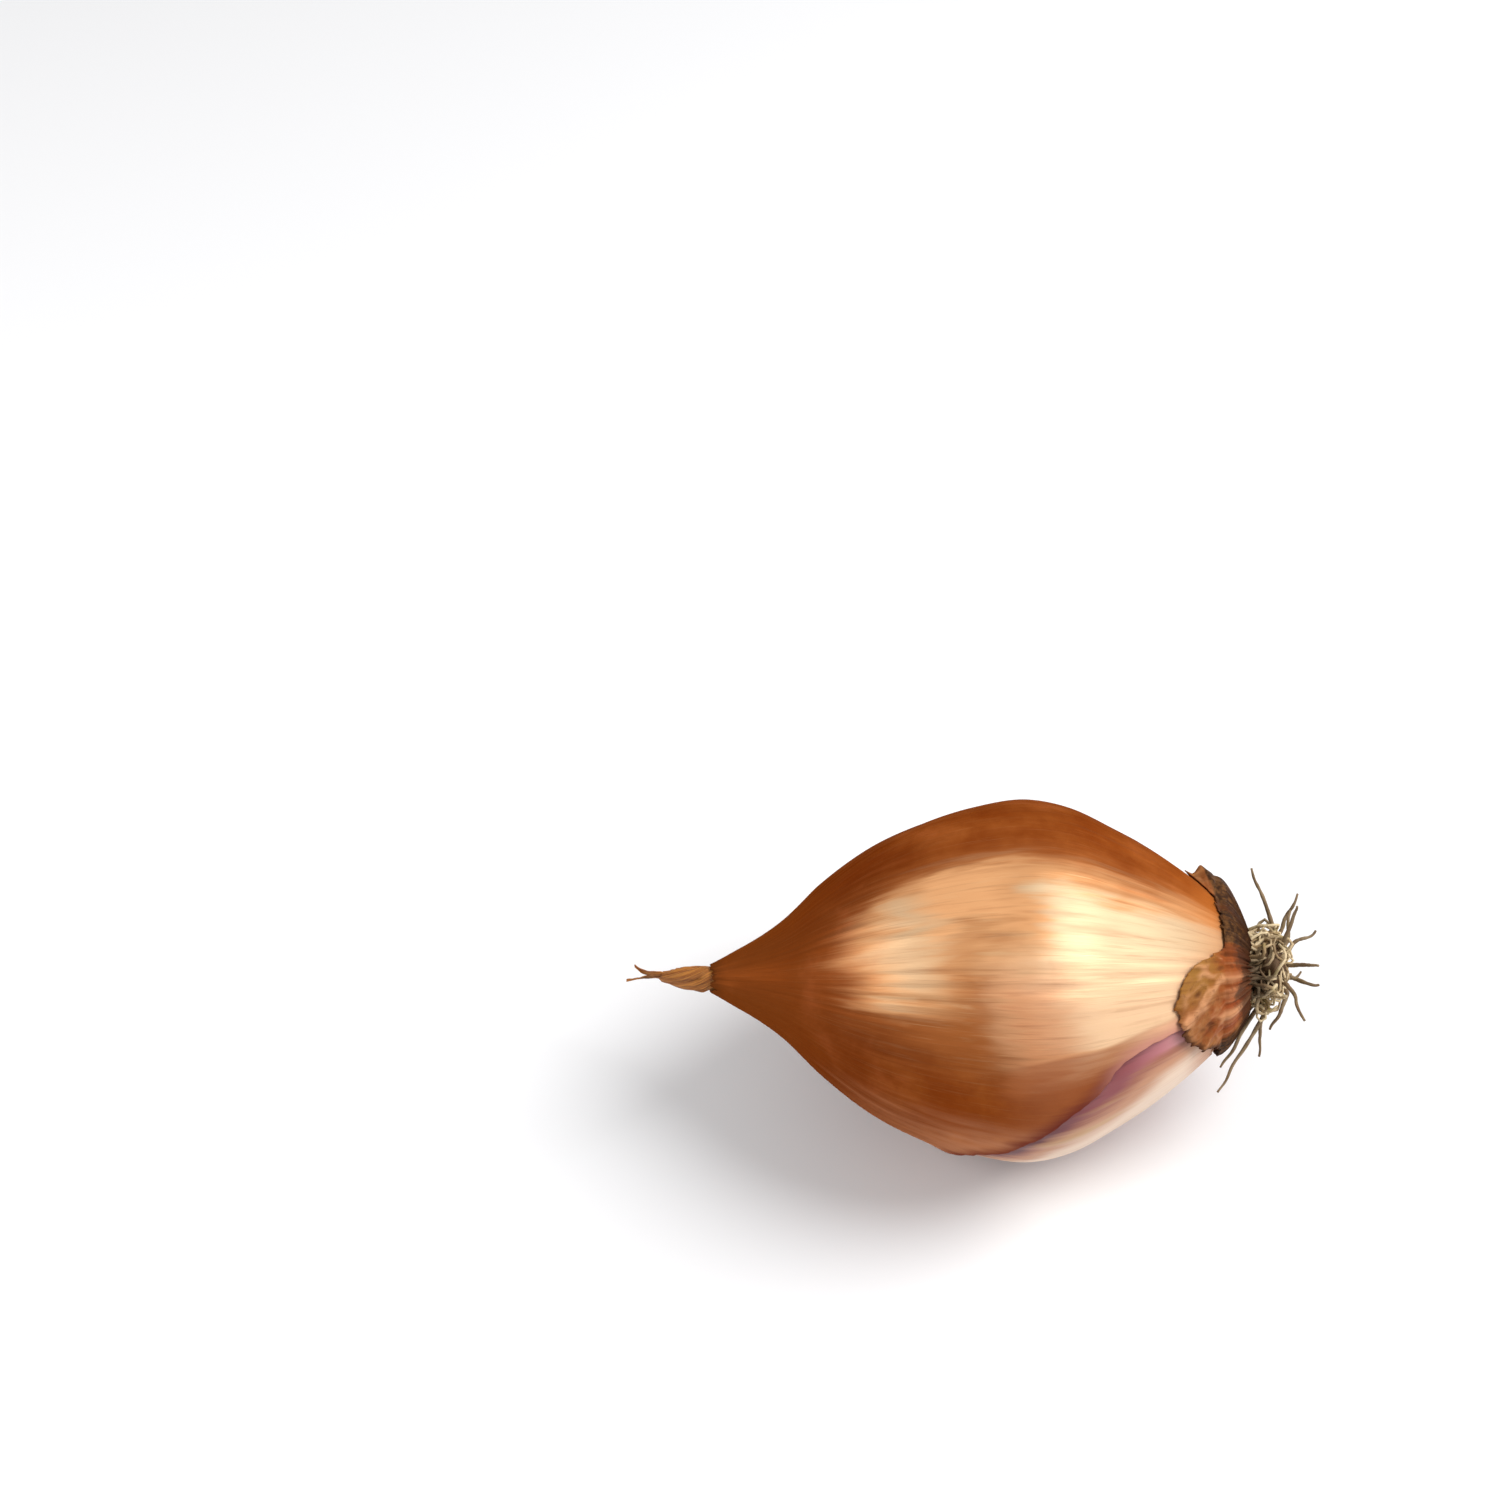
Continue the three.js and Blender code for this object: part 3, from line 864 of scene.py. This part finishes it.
def nearest_on_rim(flat):
    """The distance to the rim, the rim's nearest point, and whether each place is inside the torn place."""
    best = np.full(len(flat), np.inf)
    nearest = np.zeros_like(flat)
    inside = np.zeros(len(flat), bool)
    for start, end in zip(RIM, np.roll(RIM, -1, axis=0)):
        edge = end - start
        share = np.clip((flat - start) @ edge / (edge @ edge), 0, 1)
        foot = start + share[:, None] * edge
        distance = np.hypot(*(flat - foot).T)
        closer = distance < best
        best = np.where(closer, distance, best)
        nearest[closer] = foot[closer]
        if start[1] != end[1]:
            crosses = (start[1] > flat[:, 1]) != (end[1] > flat[:, 1])
            at = start[0] + (flat[:, 1] - start[1]) / (end[1] - start[1]) * edge[0]
            inside ^= crosses & (flat[:, 0] < at)
    return best, nearest, inside


def edge_lift(flat, distance):
    """The skin stands off the bulb along the torn edge, more in some places than in others."""
    wave = noise_at(*(flat / (6 * MM)).T, 5)
    return EDGE_LIFT * (0.65 + wave) * np.exp(-((distance / EDGE_LIFTED) ** 2))


def above_fold(along, angle):
    """The distance up from the fold, in millimetres round the bulb."""
    line = curve_through(*FOLD.T, from_widest(along) / MM)
    return (angle - np.radians(line)) * radius_at(along) / MM


def frayed_neck(along, angle):
    """Draws the neck's edge back by uneven amounts."""
    frays = np.clip(0.35 + 0.8 * around_noise(angle, 2, 6) + 0.7 * around_noise(angle, 8, 9), 0, 1.2)
    return along + NECK_FRAY * frays * smooth_step(NECK_FRAYED, 0, along)


def open_edges(piece):
    """The vertices on the edges that only one face uses."""
    uses = {}
    for face in piece.data.polygons:
        for key in face.edge_keys:
            uses[key] = uses.get(key, 0) + 1
    return np.array(sorted({vertex for key, count in uses.items() if count == 1 for vertex in key}))


def cut_tear(skin):
    """Takes the torn place's faces out of the skin."""
    along, angle, _ = round_bulb(points_of(skin))
    _, _, torn = nearest_on_rim(flat_place(along, angle))
    select_faces(skin, [torn[list(face.vertices)].all() for face in skin.data.polygons])
    bpy.ops.mesh.delete(type="FACE")
    leave_edit()


def make_skin():
    """The copper outer skin, with its torn place drawn to a clean rim."""
    skin = drawn_tube("outer_skin_paper", np.linspace(0, SKIN_END, SKIN_RINGS), SKIN_AROUND)
    refine(skin, SUBDIVISIONS)
    cut_tear(skin)
    along, angle, _ = round_bulb(points_of(skin))
    along = frayed_neck(np.clip(along, 0, 1), angle)
    flat = flat_place(along, angle)
    distance, nearest, _ = nearest_on_rim(flat)
    edge = open_edges(skin)
    edge = edge[(distance[edge] < RIM_CATCH) & (along[edge] < SKIN_END - 0.001)]
    flat[edge] = nearest[edge]
    distance[edge] = 0
    along[edge] = np.minimum(share_at(flat[edge, 0]), SKIN_END)
    angle[edge] = flat[edge, 1] / RADIUS
    pinch = NECK_PINCH * smooth_step(NECK_FRAYED, 0, along)
    out = skin_height(along, angle) + edge_lift(flat, distance) - pinch
    set_points(skin, rest_on_table(on_bulb(along, angle, out), 0))
    fold = np.clip(above_fold(along, angle), -FAR, FAR)
    write(skin, grain=grain_at(along, angle), torn=np.minimum(distance / MM, FAR), fold=fold)
    thicken(skin, SKIN_THICKNESS)
    return skin


def make_bulb():
    """The fleshy bulb, which fills the skin."""
    inset = -SKIN_THICKNESS - BULB_GAP
    bulb = drawn_tube("fleshy_bulb", np.linspace(*BULB_SHARES, BULB_RINGS), BULB_AROUND, inset)
    close_ends(bulb)
    refine(bulb, SUBDIVISIONS)
    points = points_of(bulb)
    along, angle, reach = round_bulb(points)
    along = np.clip(along, *BULB_SHARES)
    side = reach > 0.9 * (radius_at(along) + inset)
    placed = rest_on_table(on_bulb(along, angle, inset + skin_height(along, angle)), -inset)
    set_points(bulb, np.where(side[:, None], placed, points))
    distance, _, bare = nearest_on_rim(flat_place(along, angle))
    along, angle, _ = round_bulb(points_of(bulb))
    write(bulb, grain=grain_at(along, angle), bare=np.where(bare, distance, -distance) / MM)
    face_out(bulb)
    return bulb


# -------- the old skin round the root end
COLLAR_AROUND = 96
COLLAR_RINGS = 12
COLLAR_START = 0.8
COLLAR_LEVELS = 2
COLLAR_THICKNESS = 0.14 * MM
COLLAR_GAP = 0.12 * MM
COLLAR_TURN = 0.62
TURN_ALONG = 0.952
RIM_X = PLATE_HIGH.x - 0.3 * MM
RIM_RADIUS = 4.6 * MM
# Its free edge: degrees round from the front, and millimetres from the widest place. The flap is at the
# front, and the lip is on the far side.
COLLAR_EDGE = np.array([
    (-180, 22), (-150, 22.4), (-110, 21.6), (-70, 22.4), (-30, 22.2), (-8, 21.8), (4, 20.6), (12, 18.9),
    (30, 16.4), (42, 15.5), (51, 16.1), (58, 17.2), (64, 19.2), (70, 21.1), (80, 21.7), (92, 21.6),
    (104, 21.3), (118, 21), (128, 19.7), (136, 18.3), (146, 18.9), (158, 20.4), (180, 22),
])
FLAP_ANGLE = math.radians(40)
# The lip: the ends of the line that it stands up along, in degrees and millimetres.
LIP = ((138, 19.9), (141, 21.6))
LIP_REACH = 2.8 * MM
LIP_RISE = 1.9 * MM
LIP_HEIGHT = 1.9 * MM
# The flap's ridges: the ends of each, in degrees and millimetres, then its height and half width in mm.
RIDGES = [
    ((33, 16.6), (41, 19.2), 0.8, 1.3),
    ((41, 19.2), (54, 20.8), 0.6, 1.2),
    ((60, 17.9), (54, 20.8), 0.45, 1.2),
    ((14, 19.4), (28, 21.6), 0.7, 1.0),
    ((28, 21.6), (26, 23.6), 0.5, 0.9),
    ((54, 20.8), (40, 23.4), 0.5, 1.1),
]


def collar_edge(angle):
    """How far from the widest place the free edge lies, ragged and toothed."""
    turned = (np.degrees(angle) + 180) % 360 - 180
    smooth_edge = curve_through(*COLLAR_EDGE.T, turned) * MM
    ragged = 0.35 * around_noise(angle, 7, 3) + 0.3 * around_noise(angle, 19, 8)
    teeth = 0.5 * (1 - abs(around_noise(angle, 26, 1))) ** 7
    return smooth_edge + (ragged - teeth) * MM


def laid_flat(angle, x):
    """The collar laid flat: metres round the bulb, and metres along from the widest place."""
    return np.stack([angle * radius_at(share_at(x)), x], axis=-1)


def from_line(flat, start, end):
    """The distance to a line between two places, given in degrees and millimetres."""
    begin, finish = (laid_flat(math.radians(angle), np.array(x * MM)) for angle, x in (start, end))
    run = finish - begin
    share = np.clip((flat - begin) @ run / (run @ run), 0, 1)
    return np.hypot(*(flat - begin - share[:, None] * run).T)


def ridge_height(flat):
    """How far the sharp folds of the flap stand up."""
    height = np.zeros(len(flat))
    for start, end, tall, wide in RIDGES:
        near = np.clip(1 - from_line(flat, start, end) / (wide * MM), 0, 1)
        height = np.maximum(height, tall * MM * near)
    return height


def crumpled(angle, x):
    """Crumpled facets, from -0.5 to 1 at the ridges between them."""
    broad = 1 - 3 * abs(around_noise(angle, 5, x / (2.4 * MM)))
    fine = 1 - 3 * abs(around_noise(angle, 12, x / (1.2 * MM)))
    return np.maximum(0.65 * broad + 0.35 * fine, -0.5)


def loose_edge(angle, from_edge, beside_lip):
    """How far the free edge stands off the skin. By the lip it lies close."""
    loose = 0.08 + 0.2 * around_noise(angle, 6, 5)
    loose += 0.15 * smooth_step(0.9, 1, np.cos(angle - math.radians(15)))
    lift = np.maximum(loose, 0) * MM * np.exp(-((from_edge / (0.9 * MM)) ** 2))
    return lift * smooth_step(2 * MM, 6 * MM, beside_lip)


def turned_in(points, angle, turning):
    """Bends the collar in over the bulb's shoulder to the root plate, with pleats and a spiky rim."""
    pleats = 0.22 * MM * around_noise(angle, 16, 2) + 0.18 * MM * around_noise(angle, 34, 6)
    spikes = (1 - abs(around_noise(angle, 30, 4))) ** 5
    _, _, shoulder = round_bulb(points)
    drawn_in = 1 - np.cos(turning * math.pi / 2) ** 0.8
    reach = blend(shoulder, RIM_RADIUS, drawn_in) + (pleats + 0.5 * MM * spikes) * turning
    x = blend(points[:, 0], RIM_X, turning) + 0.7 * MM * spikes * turning**3
    return np.where(turning[:, None] > 0, beside_axis(x, angle, reach), points)


def make_collar():
    """What is left of the old skin: it lies on the outer skin from its free edge, then turns in."""
    collar = drawn_tube("old_skin_collar", np.linspace(COLLAR_START, 1, COLLAR_RINGS), COLLAR_AROUND)
    refine(collar, COLLAR_LEVELS)
    along, angle, _ = round_bulb(points_of(collar))
    share = np.clip((along - COLLAR_START) / (1 - COLLAR_START), 0, 1)
    lying = np.clip(share / COLLAR_TURN, 0, 1)
    turning = np.clip((share - COLLAR_TURN) / (1 - COLLAR_TURN), 0, 1)
    edge = collar_edge(angle)
    x = blend(edge, from_widest(TURN_ALONG), lying)
    along = share_at(x)
    from_edge = x - edge

    crumple = crumpled(angle, x)
    flat = laid_flat((angle + math.pi) % (2 * math.pi) - math.pi, x)
    ridges = ridge_height(flat)
    beside_lip = from_line(flat, *LIP)
    lip = smooth_step(LIP_REACH, 0, beside_lip) * smooth_step(0, LIP_RISE, from_edge)
    flap = smooth_step(0.72, 1, np.cos(angle - FLAP_ANGLE))
    facets = (0.2 + 0.22 * flap) * MM * (0.5 + crumple) * smooth_step(-0.5 * MM, 0.7 * MM, from_edge)
    out = skin_height(along, angle) + COLLAR_THICKNESS + COLLAR_GAP + LIP_HEIGHT * lip
    out += (facets + ridges) * (1 - 0.3 * lying) + loose_edge(angle, from_edge, beside_lip)
    points = rest_on_table(on_bulb(along, angle, out), 0)
    set_points(collar, turned_in(points, angle, turning))

    over_flap = smooth_step(math.radians(26), FLAP_ANGLE, angle) * smooth_step(1.5, 1.2, angle)
    soft = over_flap + lip + smooth_step(math.radians(118), math.radians(126), angle)
    crown = points[:, 0] - WIDEST_X + (0.5 * crumple - 1.3 * flap) * MM + 0.65 * LIP_HEIGHT * lip
    write(
        collar,
        grain=grain_at(along + 0.05 * turning, angle),
        edge=np.minimum(from_edge / MM + 1.6 * np.minimum(soft, 1), FAR),
        crease=np.clip(0.3 + 0.45 * crumple + 0.6 * ridges / MM, 0, 1),
        crown=smooth_step(20.4 * MM, 22.2 * MM, crown),
    )
    thicken(collar, COLLAR_THICKNESS)
    return collar


# -------- root plate and root mat
PLATE_AROUND = 48
PLATE_RINGS = 3
PLATE_INSETS = 5
PLATE_INSET = 0.17
PLATE_LEVELS = 2
PLATE_SIDE_ROOM = 0.15 * MM
PLATE_END_ROOM = 0.1 * MM
MAT_LOW, MAT_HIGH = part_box("root_mat")
MAT_CENTRE = np.array((MAT_LOW + MAT_HIGH) / 2)
MAT_REACH = np.array([2.4, 4.4, 4.4]) * MM
MAT_SEED = 23
STRANDS = 210
STRAND_RINGS = 11
STRAND_AROUND = 5
STRAND_STEPS = 15
STRAND_STEP = 0.62 * MM
STRAND_SPREAD = 4.3 * MM
THINNEST_STRAND = 0.16 * MM
THICKEST_STRAND = 0.29 * MM


def make_plate():
    """A corky dome with rings and radial cracks."""
    plate = drawn_rod("corky_plate", PLATE_RINGS, PLATE_AROUND)
    select_faces(plate, [abs(face.normal.x) > 0.9 for face in plate.data.polygons])
    for _ in range(PLATE_INSETS):
        bpy.ops.mesh.inset(thickness=PLATE_INSET, use_individual=True)
    leave_edit()
    refine(plate, PLATE_LEVELS)
    points = points_of(plate)
    angle, out = round_rod(points)
    radius = (PLATE_HIGH.y - PLATE_LOW.y) / 2 - PLATE_SIDE_ROOM
    cracks = 0.35 * MM * (1 - abs(around_noise(angle, 6, out))) ** 8
    lumps = 0.18 * MM * noise_at(*(points[:, 1:] * 5).T, points[:, 0])
    dome = (PLATE_HIGH.x - PLATE_LOW.x) * (1 - 0.35 * out**3) - 2 * PLATE_END_ROOM
    x = PLATE_LOW.x + PLATE_END_ROOM + points[:, 0] * (dome + (lumps - cracks) * np.clip(out * 2, 0, 1))
    reach = out * radius * (1 - 0.03 * abs(around_noise(angle, 9, 4)))
    y, z = ((low + high) / 2 for low, high in zip(PLATE_LOW[1:], PLATE_HIGH[1:]))
    set_points(plate, np.stack([x, y + reach * np.cos(angle), z + reach * np.sin(angle)], axis=-1))
    face_out(plate)
    return plate


def strand_path(random_numbers):
    """A curly path that starts on the root plate and stays in the mat."""
    turn = random_numbers.uniform(0, 2 * math.pi)
    reach = STRAND_SPREAD * math.sqrt(random_numbers.uniform())
    sideways = np.array([0, math.cos(turn), math.sin(turn)])
    at = np.array([PLATE_HIGH.x - 0.5 * MM, *MAT_CENTRE[1:]]) + reach * sideways
    heading = np.array([1, 0, 0]) + random_numbers.uniform(0, 0.8) * sideways
    spin = random_numbers.normal(size=3)
    stray = random_numbers.choice([0.85, 1, 1.25], p=[0.45, 0.4, 0.15])
    path = [at]
    for _ in range(STRAND_STEPS):
        spin = 0.75 * spin + 0.6 * random_numbers.normal(size=3)
        heading = heading + 0.42 * np.cross(spin, heading)
        place = (at - MAT_CENTRE) / (MAT_REACH * stray)
        beyond = np.linalg.norm(place)
        heading = heading - max(0, beyond - 0.8) * 1.6 * place / beyond
        heading /= np.linalg.norm(heading)
        at = at + STRAND_STEP * heading
        at[0] = max(at[0], PLATE_HIGH.x - 0.2 * MM)
        path.append(at)
    return np.array(path)


def strand_depth(points):
    """Painted shade in the mat: how deep in it, or how close to the plate, each point is, with a shaded
    hollow on the flap's side; 1 is darkest.
    """
    place = np.linalg.norm((points - MAT_CENTRE) / MAT_REACH, axis=1)
    height = points[:, 0] - PLATE_HIGH.x
    _, angle, _ = round_bulb(points)
    # Painted shade in a hollow on the flap's side, near the plate.
    hollow_shade = smooth_step(0.7, 0.95, np.cos(angle - math.radians(38)))
    hollow_shade *= smooth_step(3 * MM, 1.4 * MM, height)
    # Painted shade deep in the tangle and close to the plate.
    buried_shade = np.clip(0.9 - 0.9 * place, 0, 0.7) + smooth_step(1 * MM, 0, height) * 0.3
    return np.clip(buried_shade + 0.8 * hollow_shade, 0, 0.95)


def make_core():
    """The mat's lumpy middle, coloured dark with painted shade."""
    deselect()
    bpy.ops.mesh.primitive_ico_sphere_add(subdivisions=4, radius=1)
    core = bpy.context.object
    points = points_of(core)
    lumps = 0.78 + 0.16 * noise_at(*(points * 3).T)
    set_points(core, MAT_CENTRE + points * lumps[:, None] * MAT_REACH)
    write(core, tone=np.zeros(len(points)), depth=np.full(len(points), 0.92))
    return core


def make_mat():
    """A tangle of strands round the core, with painted shade deep in the tangle."""
    random_numbers = np.random.default_rng(MAT_SEED)
    pieces = [make_core()]
    rod = drawn_rod("strand", STRAND_RINGS, STRAND_AROUND)
    for _ in range(STRANDS):
        strand = copy_of(rod, "strand_copy")
        thick = random_numbers.uniform(THINNEST_STRAND, THICKEST_STRAND)
        lay_rod(strand, strand_path(random_numbers), thick * np.linspace(1.1, 0.55, STRAND_STEPS + 1))
        points = points_of(strand)
        tone = np.full(len(points), random_numbers.uniform())
        write(strand, tone=tone, depth=strand_depth(points))
        pieces.append(strand)
    remove(rod)
    mat = joined("matted_roots", pieces)
    mat.data.materials.clear()
    return mat


# -------- the free roots
# Each has its angle round the bulb's axis, the slant of its start seen from the mat's centre, the slant it
# grows at, its length in mm and the share of it that it curls sideways.
ROOTS = [
    (145, 84, 112, 6.9, 0.12), (138, 52, 86, 3.4, -0.3), (172, 70, 64, 5, 0.35), (-32, 104, 122, 8.4, 0.05),
    (-37, 92, 121, 11.2, -0.04), (-30, 55, 112, 4.6, 0.2), (-75, 88, 94, 7.4, -0.2),
    (-110, 66, 62, 6.2, 0.3), (-150, 84, 98, 7.8, -0.22), (-172, 44, 40, 4.2, 0.3), (60, 40, 38, 3.4, 0.3),
    (96, 72, 80, 4.8, -0.35), (22, 68, 70, 4.4, 0.4), (-22, 26, 24, 3.4, -0.3),
]
ROOT_RADIUS = 0.27 * MM
ROOT_RINGS = 36
ROOT_AROUND = 9
ROOT_STATIONS = 40
# How far below its start, as a share of its length, a root's path begins, and how far below the mat's face.
ROOT_INSIDE = -0.3
ROOT_BURIED = 0.5 * MM
ROOT_ANCHOR = 6 * MM
KINK_LENGTH = 2.6 * MM


def slanted(out, slant):
    return np.array([math.cos(math.radians(slant)), 0, 0]) + math.sin(math.radians(slant)) * out


def root_path(angle, start_slant, lean, length, curl, seed):
    """From inside the mat out along the root, with small kinks."""
    out = np.array([0, -math.cos(math.radians(angle)), math.sin(math.radians(angle))])
    side = np.cross([1, 0, 0], out)
    start = slanted(out, start_slant)
    base = MAT_CENTRE + start * (1 / np.linalg.norm(start / MAT_REACH) + ROOT_BURIED)
    share = np.linspace(ROOT_INSIDE, 1, ROOT_STATIONS)[:, None]
    grown = np.maximum(share, 0)
    length = length * MM
    path = base + slanted(out, lean) * grown * length + side * curl * length * grown**2
    path += (share - grown) * start * ROOT_ANCHOR
    for axis in range(3):
        kinks = noise_at(share[:, 0] * length / KINK_LENGTH, 7.3 * seed, 3.1 * axis)
        path[:, axis] += (0.18 + 2.6 * abs(curl)) * MM * kinks * np.clip(share[:, 0] + 0.1, 0, 1) ** 0.5
    return path


def make_root(rod, number, choice):
    """A bent root that thins and shrivels."""
    root = copy_of(rod, f"dry_root_{number:02d}")
    share = np.linspace(0, 1, ROOT_STATIONS)
    shrivelled = 1 + 0.22 * noise_at(share * 14, number * 5.1, 2)
    lay_rod(root, root_path(*choice, number), ROOT_RADIUS * blend(1, 0.5, share**2) * shrivelled)
    points = points_of(root)
    tone = np.clip(0.35 + 0.4 * noise_at(*(points / (2 * MM)).T), 0, 1)
    # On a free root this attribute holds only an uneven darker tone, not shade.
    write(root, tone=tone, depth=0.64 + 0.22 * noise_at(*(points / (1.2 * MM)).T))
    return root


# -------- the withered neck
NECK_RINGS = 44
NECK_AROUND = 64
NECK_GAP = 0.3 * MM
NECK_LENGTH = 5.2 * MM
NECK_HALF_WIDTH = 1.55 * MM
NECK_DROOP = 1.5 * MM
NECK_TURN = 1.3 * MM
NECK_TWIST = math.radians(110)
NECK_INSIDE = -0.5
# Inside the skin's mouth the stalk is round: its radius there, and how it widens further in.
HELD_RADIUS = 1.38 * MM
HELD_WIDENING = 0.5 * MM
WRAP = 2 * math.pi / 3
# Each dead leaf tip: its place across the stalk's end, its length, how it bends back and up, and its roll.
LEAF_TIPS = [(-0.6, 3.9, (0.2, -0.36), 20), (0.6, 2.9, (0.36, 0.2), -35)]
TIP_INSIDE = -0.25
TIP_GAP = 0.3 * MM
TIP_HALF_WIDTH = 0.55 * MM
TIP_CUP = 0.28 * MM
TIP_CRUMPLE = 0.12 * MM
TIP_THICKNESS = 0.12 * MM


def neck_line(share):
    """The stalk's middle, from the bulb's neck out to its end."""
    y, z = axis_at(NECK_X)
    bent = np.maximum(share, 0) ** 2
    x = NECK_X - NECK_GAP - share * NECK_LENGTH
    return np.stack([x, y + NECK_TURN * bent, z - NECK_DROOP * bent], axis=-1)


def twisted(across, through, turn):
    """The y and z of places across and through the stalk, which is turned about its length."""
    back = across * np.cos(turn) - through * np.sin(turn)
    return np.stack([back, across * np.sin(turn) + through * np.cos(turn)], axis=-1)


def make_neck():
    """The leaf bases rolled round each other, drawn together and twisted."""
    neck = drawn_rod("withered_neck", NECK_RINGS, NECK_AROUND)
    points = points_of(neck)
    angle, out = round_rod(points)
    share = blend(NECK_INSIDE, 1, points[:, 0])
    grown = np.clip(share, 0, 1)
    wrapped = (angle + 1.1 * share) % WRAP / WRAP
    flutes = 1 + 0.1 * np.sin(9 * angle + 2 * share) + 0.07 * around_noise(angle, 6, share * 2)
    half = NECK_HALF_WIDTH * blend(1, 0.62, grown) * flutes * (0.84 + 0.2 * wrapped**0.7)
    held = HELD_RADIUS + HELD_WIDENING * np.maximum(-share - 0.06, 0)
    half = blend(half, held, smooth_step(0.12, -0.05, share))
    across = half * out * np.cos(angle)
    through = half * out * np.sin(angle) * blend(1, 0.55, grown)
    place = neck_line(share + 0.12 * around_noise(angle, 3, 7) * smooth_step(0.7, 1, share))
    place[:, 1:] += twisted(across, through, NECK_TWIST * share)
    set_points(neck, place)
    write(neck, fibre=grain_at(share, angle))
    face_out(neck)
    return neck


def make_leaf_tip(number, offset, length, curl, roll):
    """A narrow strip that tapers, rolls and curls its own way."""
    deselect()
    bpy.ops.mesh.primitive_grid_add(x_subdivisions=40, y_subdivisions=8, size=1)
    tip = bpy.context.object
    tip.name = tip.data.name = f"withered_tip_{number:02d}"
    points = points_of(tip)
    share = points[:, 0] + 0.5
    across = 2 * points[:, 1]
    grown = blend(TIP_INSIDE, 1, share)
    taper = blend(1, 0.25, np.clip(grown, 0, 1) ** 1.4)
    half = TIP_HALF_WIDTH * taper * (1 + 0.2 * noise_at(share * 6, number, across))
    cupped = TIP_CUP * across**2 * np.cos(5 * share + number)
    cupped += TIP_CRUMPLE * noise_at(share * 5, across * 2, number)
    reach = grown * length * MM
    place = neck_line(1.0) + np.stack([-TIP_GAP - reach, *(bend * reach * grown for bend in curl)], axis=-1)
    place[:, 1:] += twisted(offset * MM, 0, NECK_TWIST)
    place[:, 1:] += twisted(half * across, cupped, NECK_TWIST + math.radians(roll) * grown)
    set_points(tip, place)
    write(tip, fibre=np.stack([across * 0.5, np.full(len(share), number), share], axis=-1))
    thicken(tip, TIP_THICKNESS, offset=0)
    return tip


# -------- everything in its place
def place(piece, material, slot, *nodes):
    """The piece is smooth, has its material, goes with the one body and stands for CAD nodes."""
    smooth(piece)
    piece.data.materials.append(material)
    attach(piece, "root")
    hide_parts(*nodes)


place(make_skin(), papery_skin(), "skin", "outer_skin")
place(make_bulb(), moist_flesh(), "flesh", "bulb")
place(make_collar(), old_paper(), "old_skin", "root_collar")
place(make_plate(), cork(), "cork", "root_plate")

root_finish = dry_root()
place(make_mat(), root_finish, "root", "root_mat")
rod = drawn_rod("root_rod", ROOT_RINGS, ROOT_AROUND)
for number, choice in enumerate(ROOTS, 1):
    place(make_root(rod, number, choice), root_finish, "root", f"root_{number:02d}")
remove(rod)

leaf_finish = withered_leaf()
place(make_neck(), leaf_finish, "neck", "dry_neck")
for number, choice in enumerate(LEAF_TIPS, 1):
    place(make_leaf_tip(number, *choice), leaf_finish, "neck", f"leaf_tip_{number:02d}")
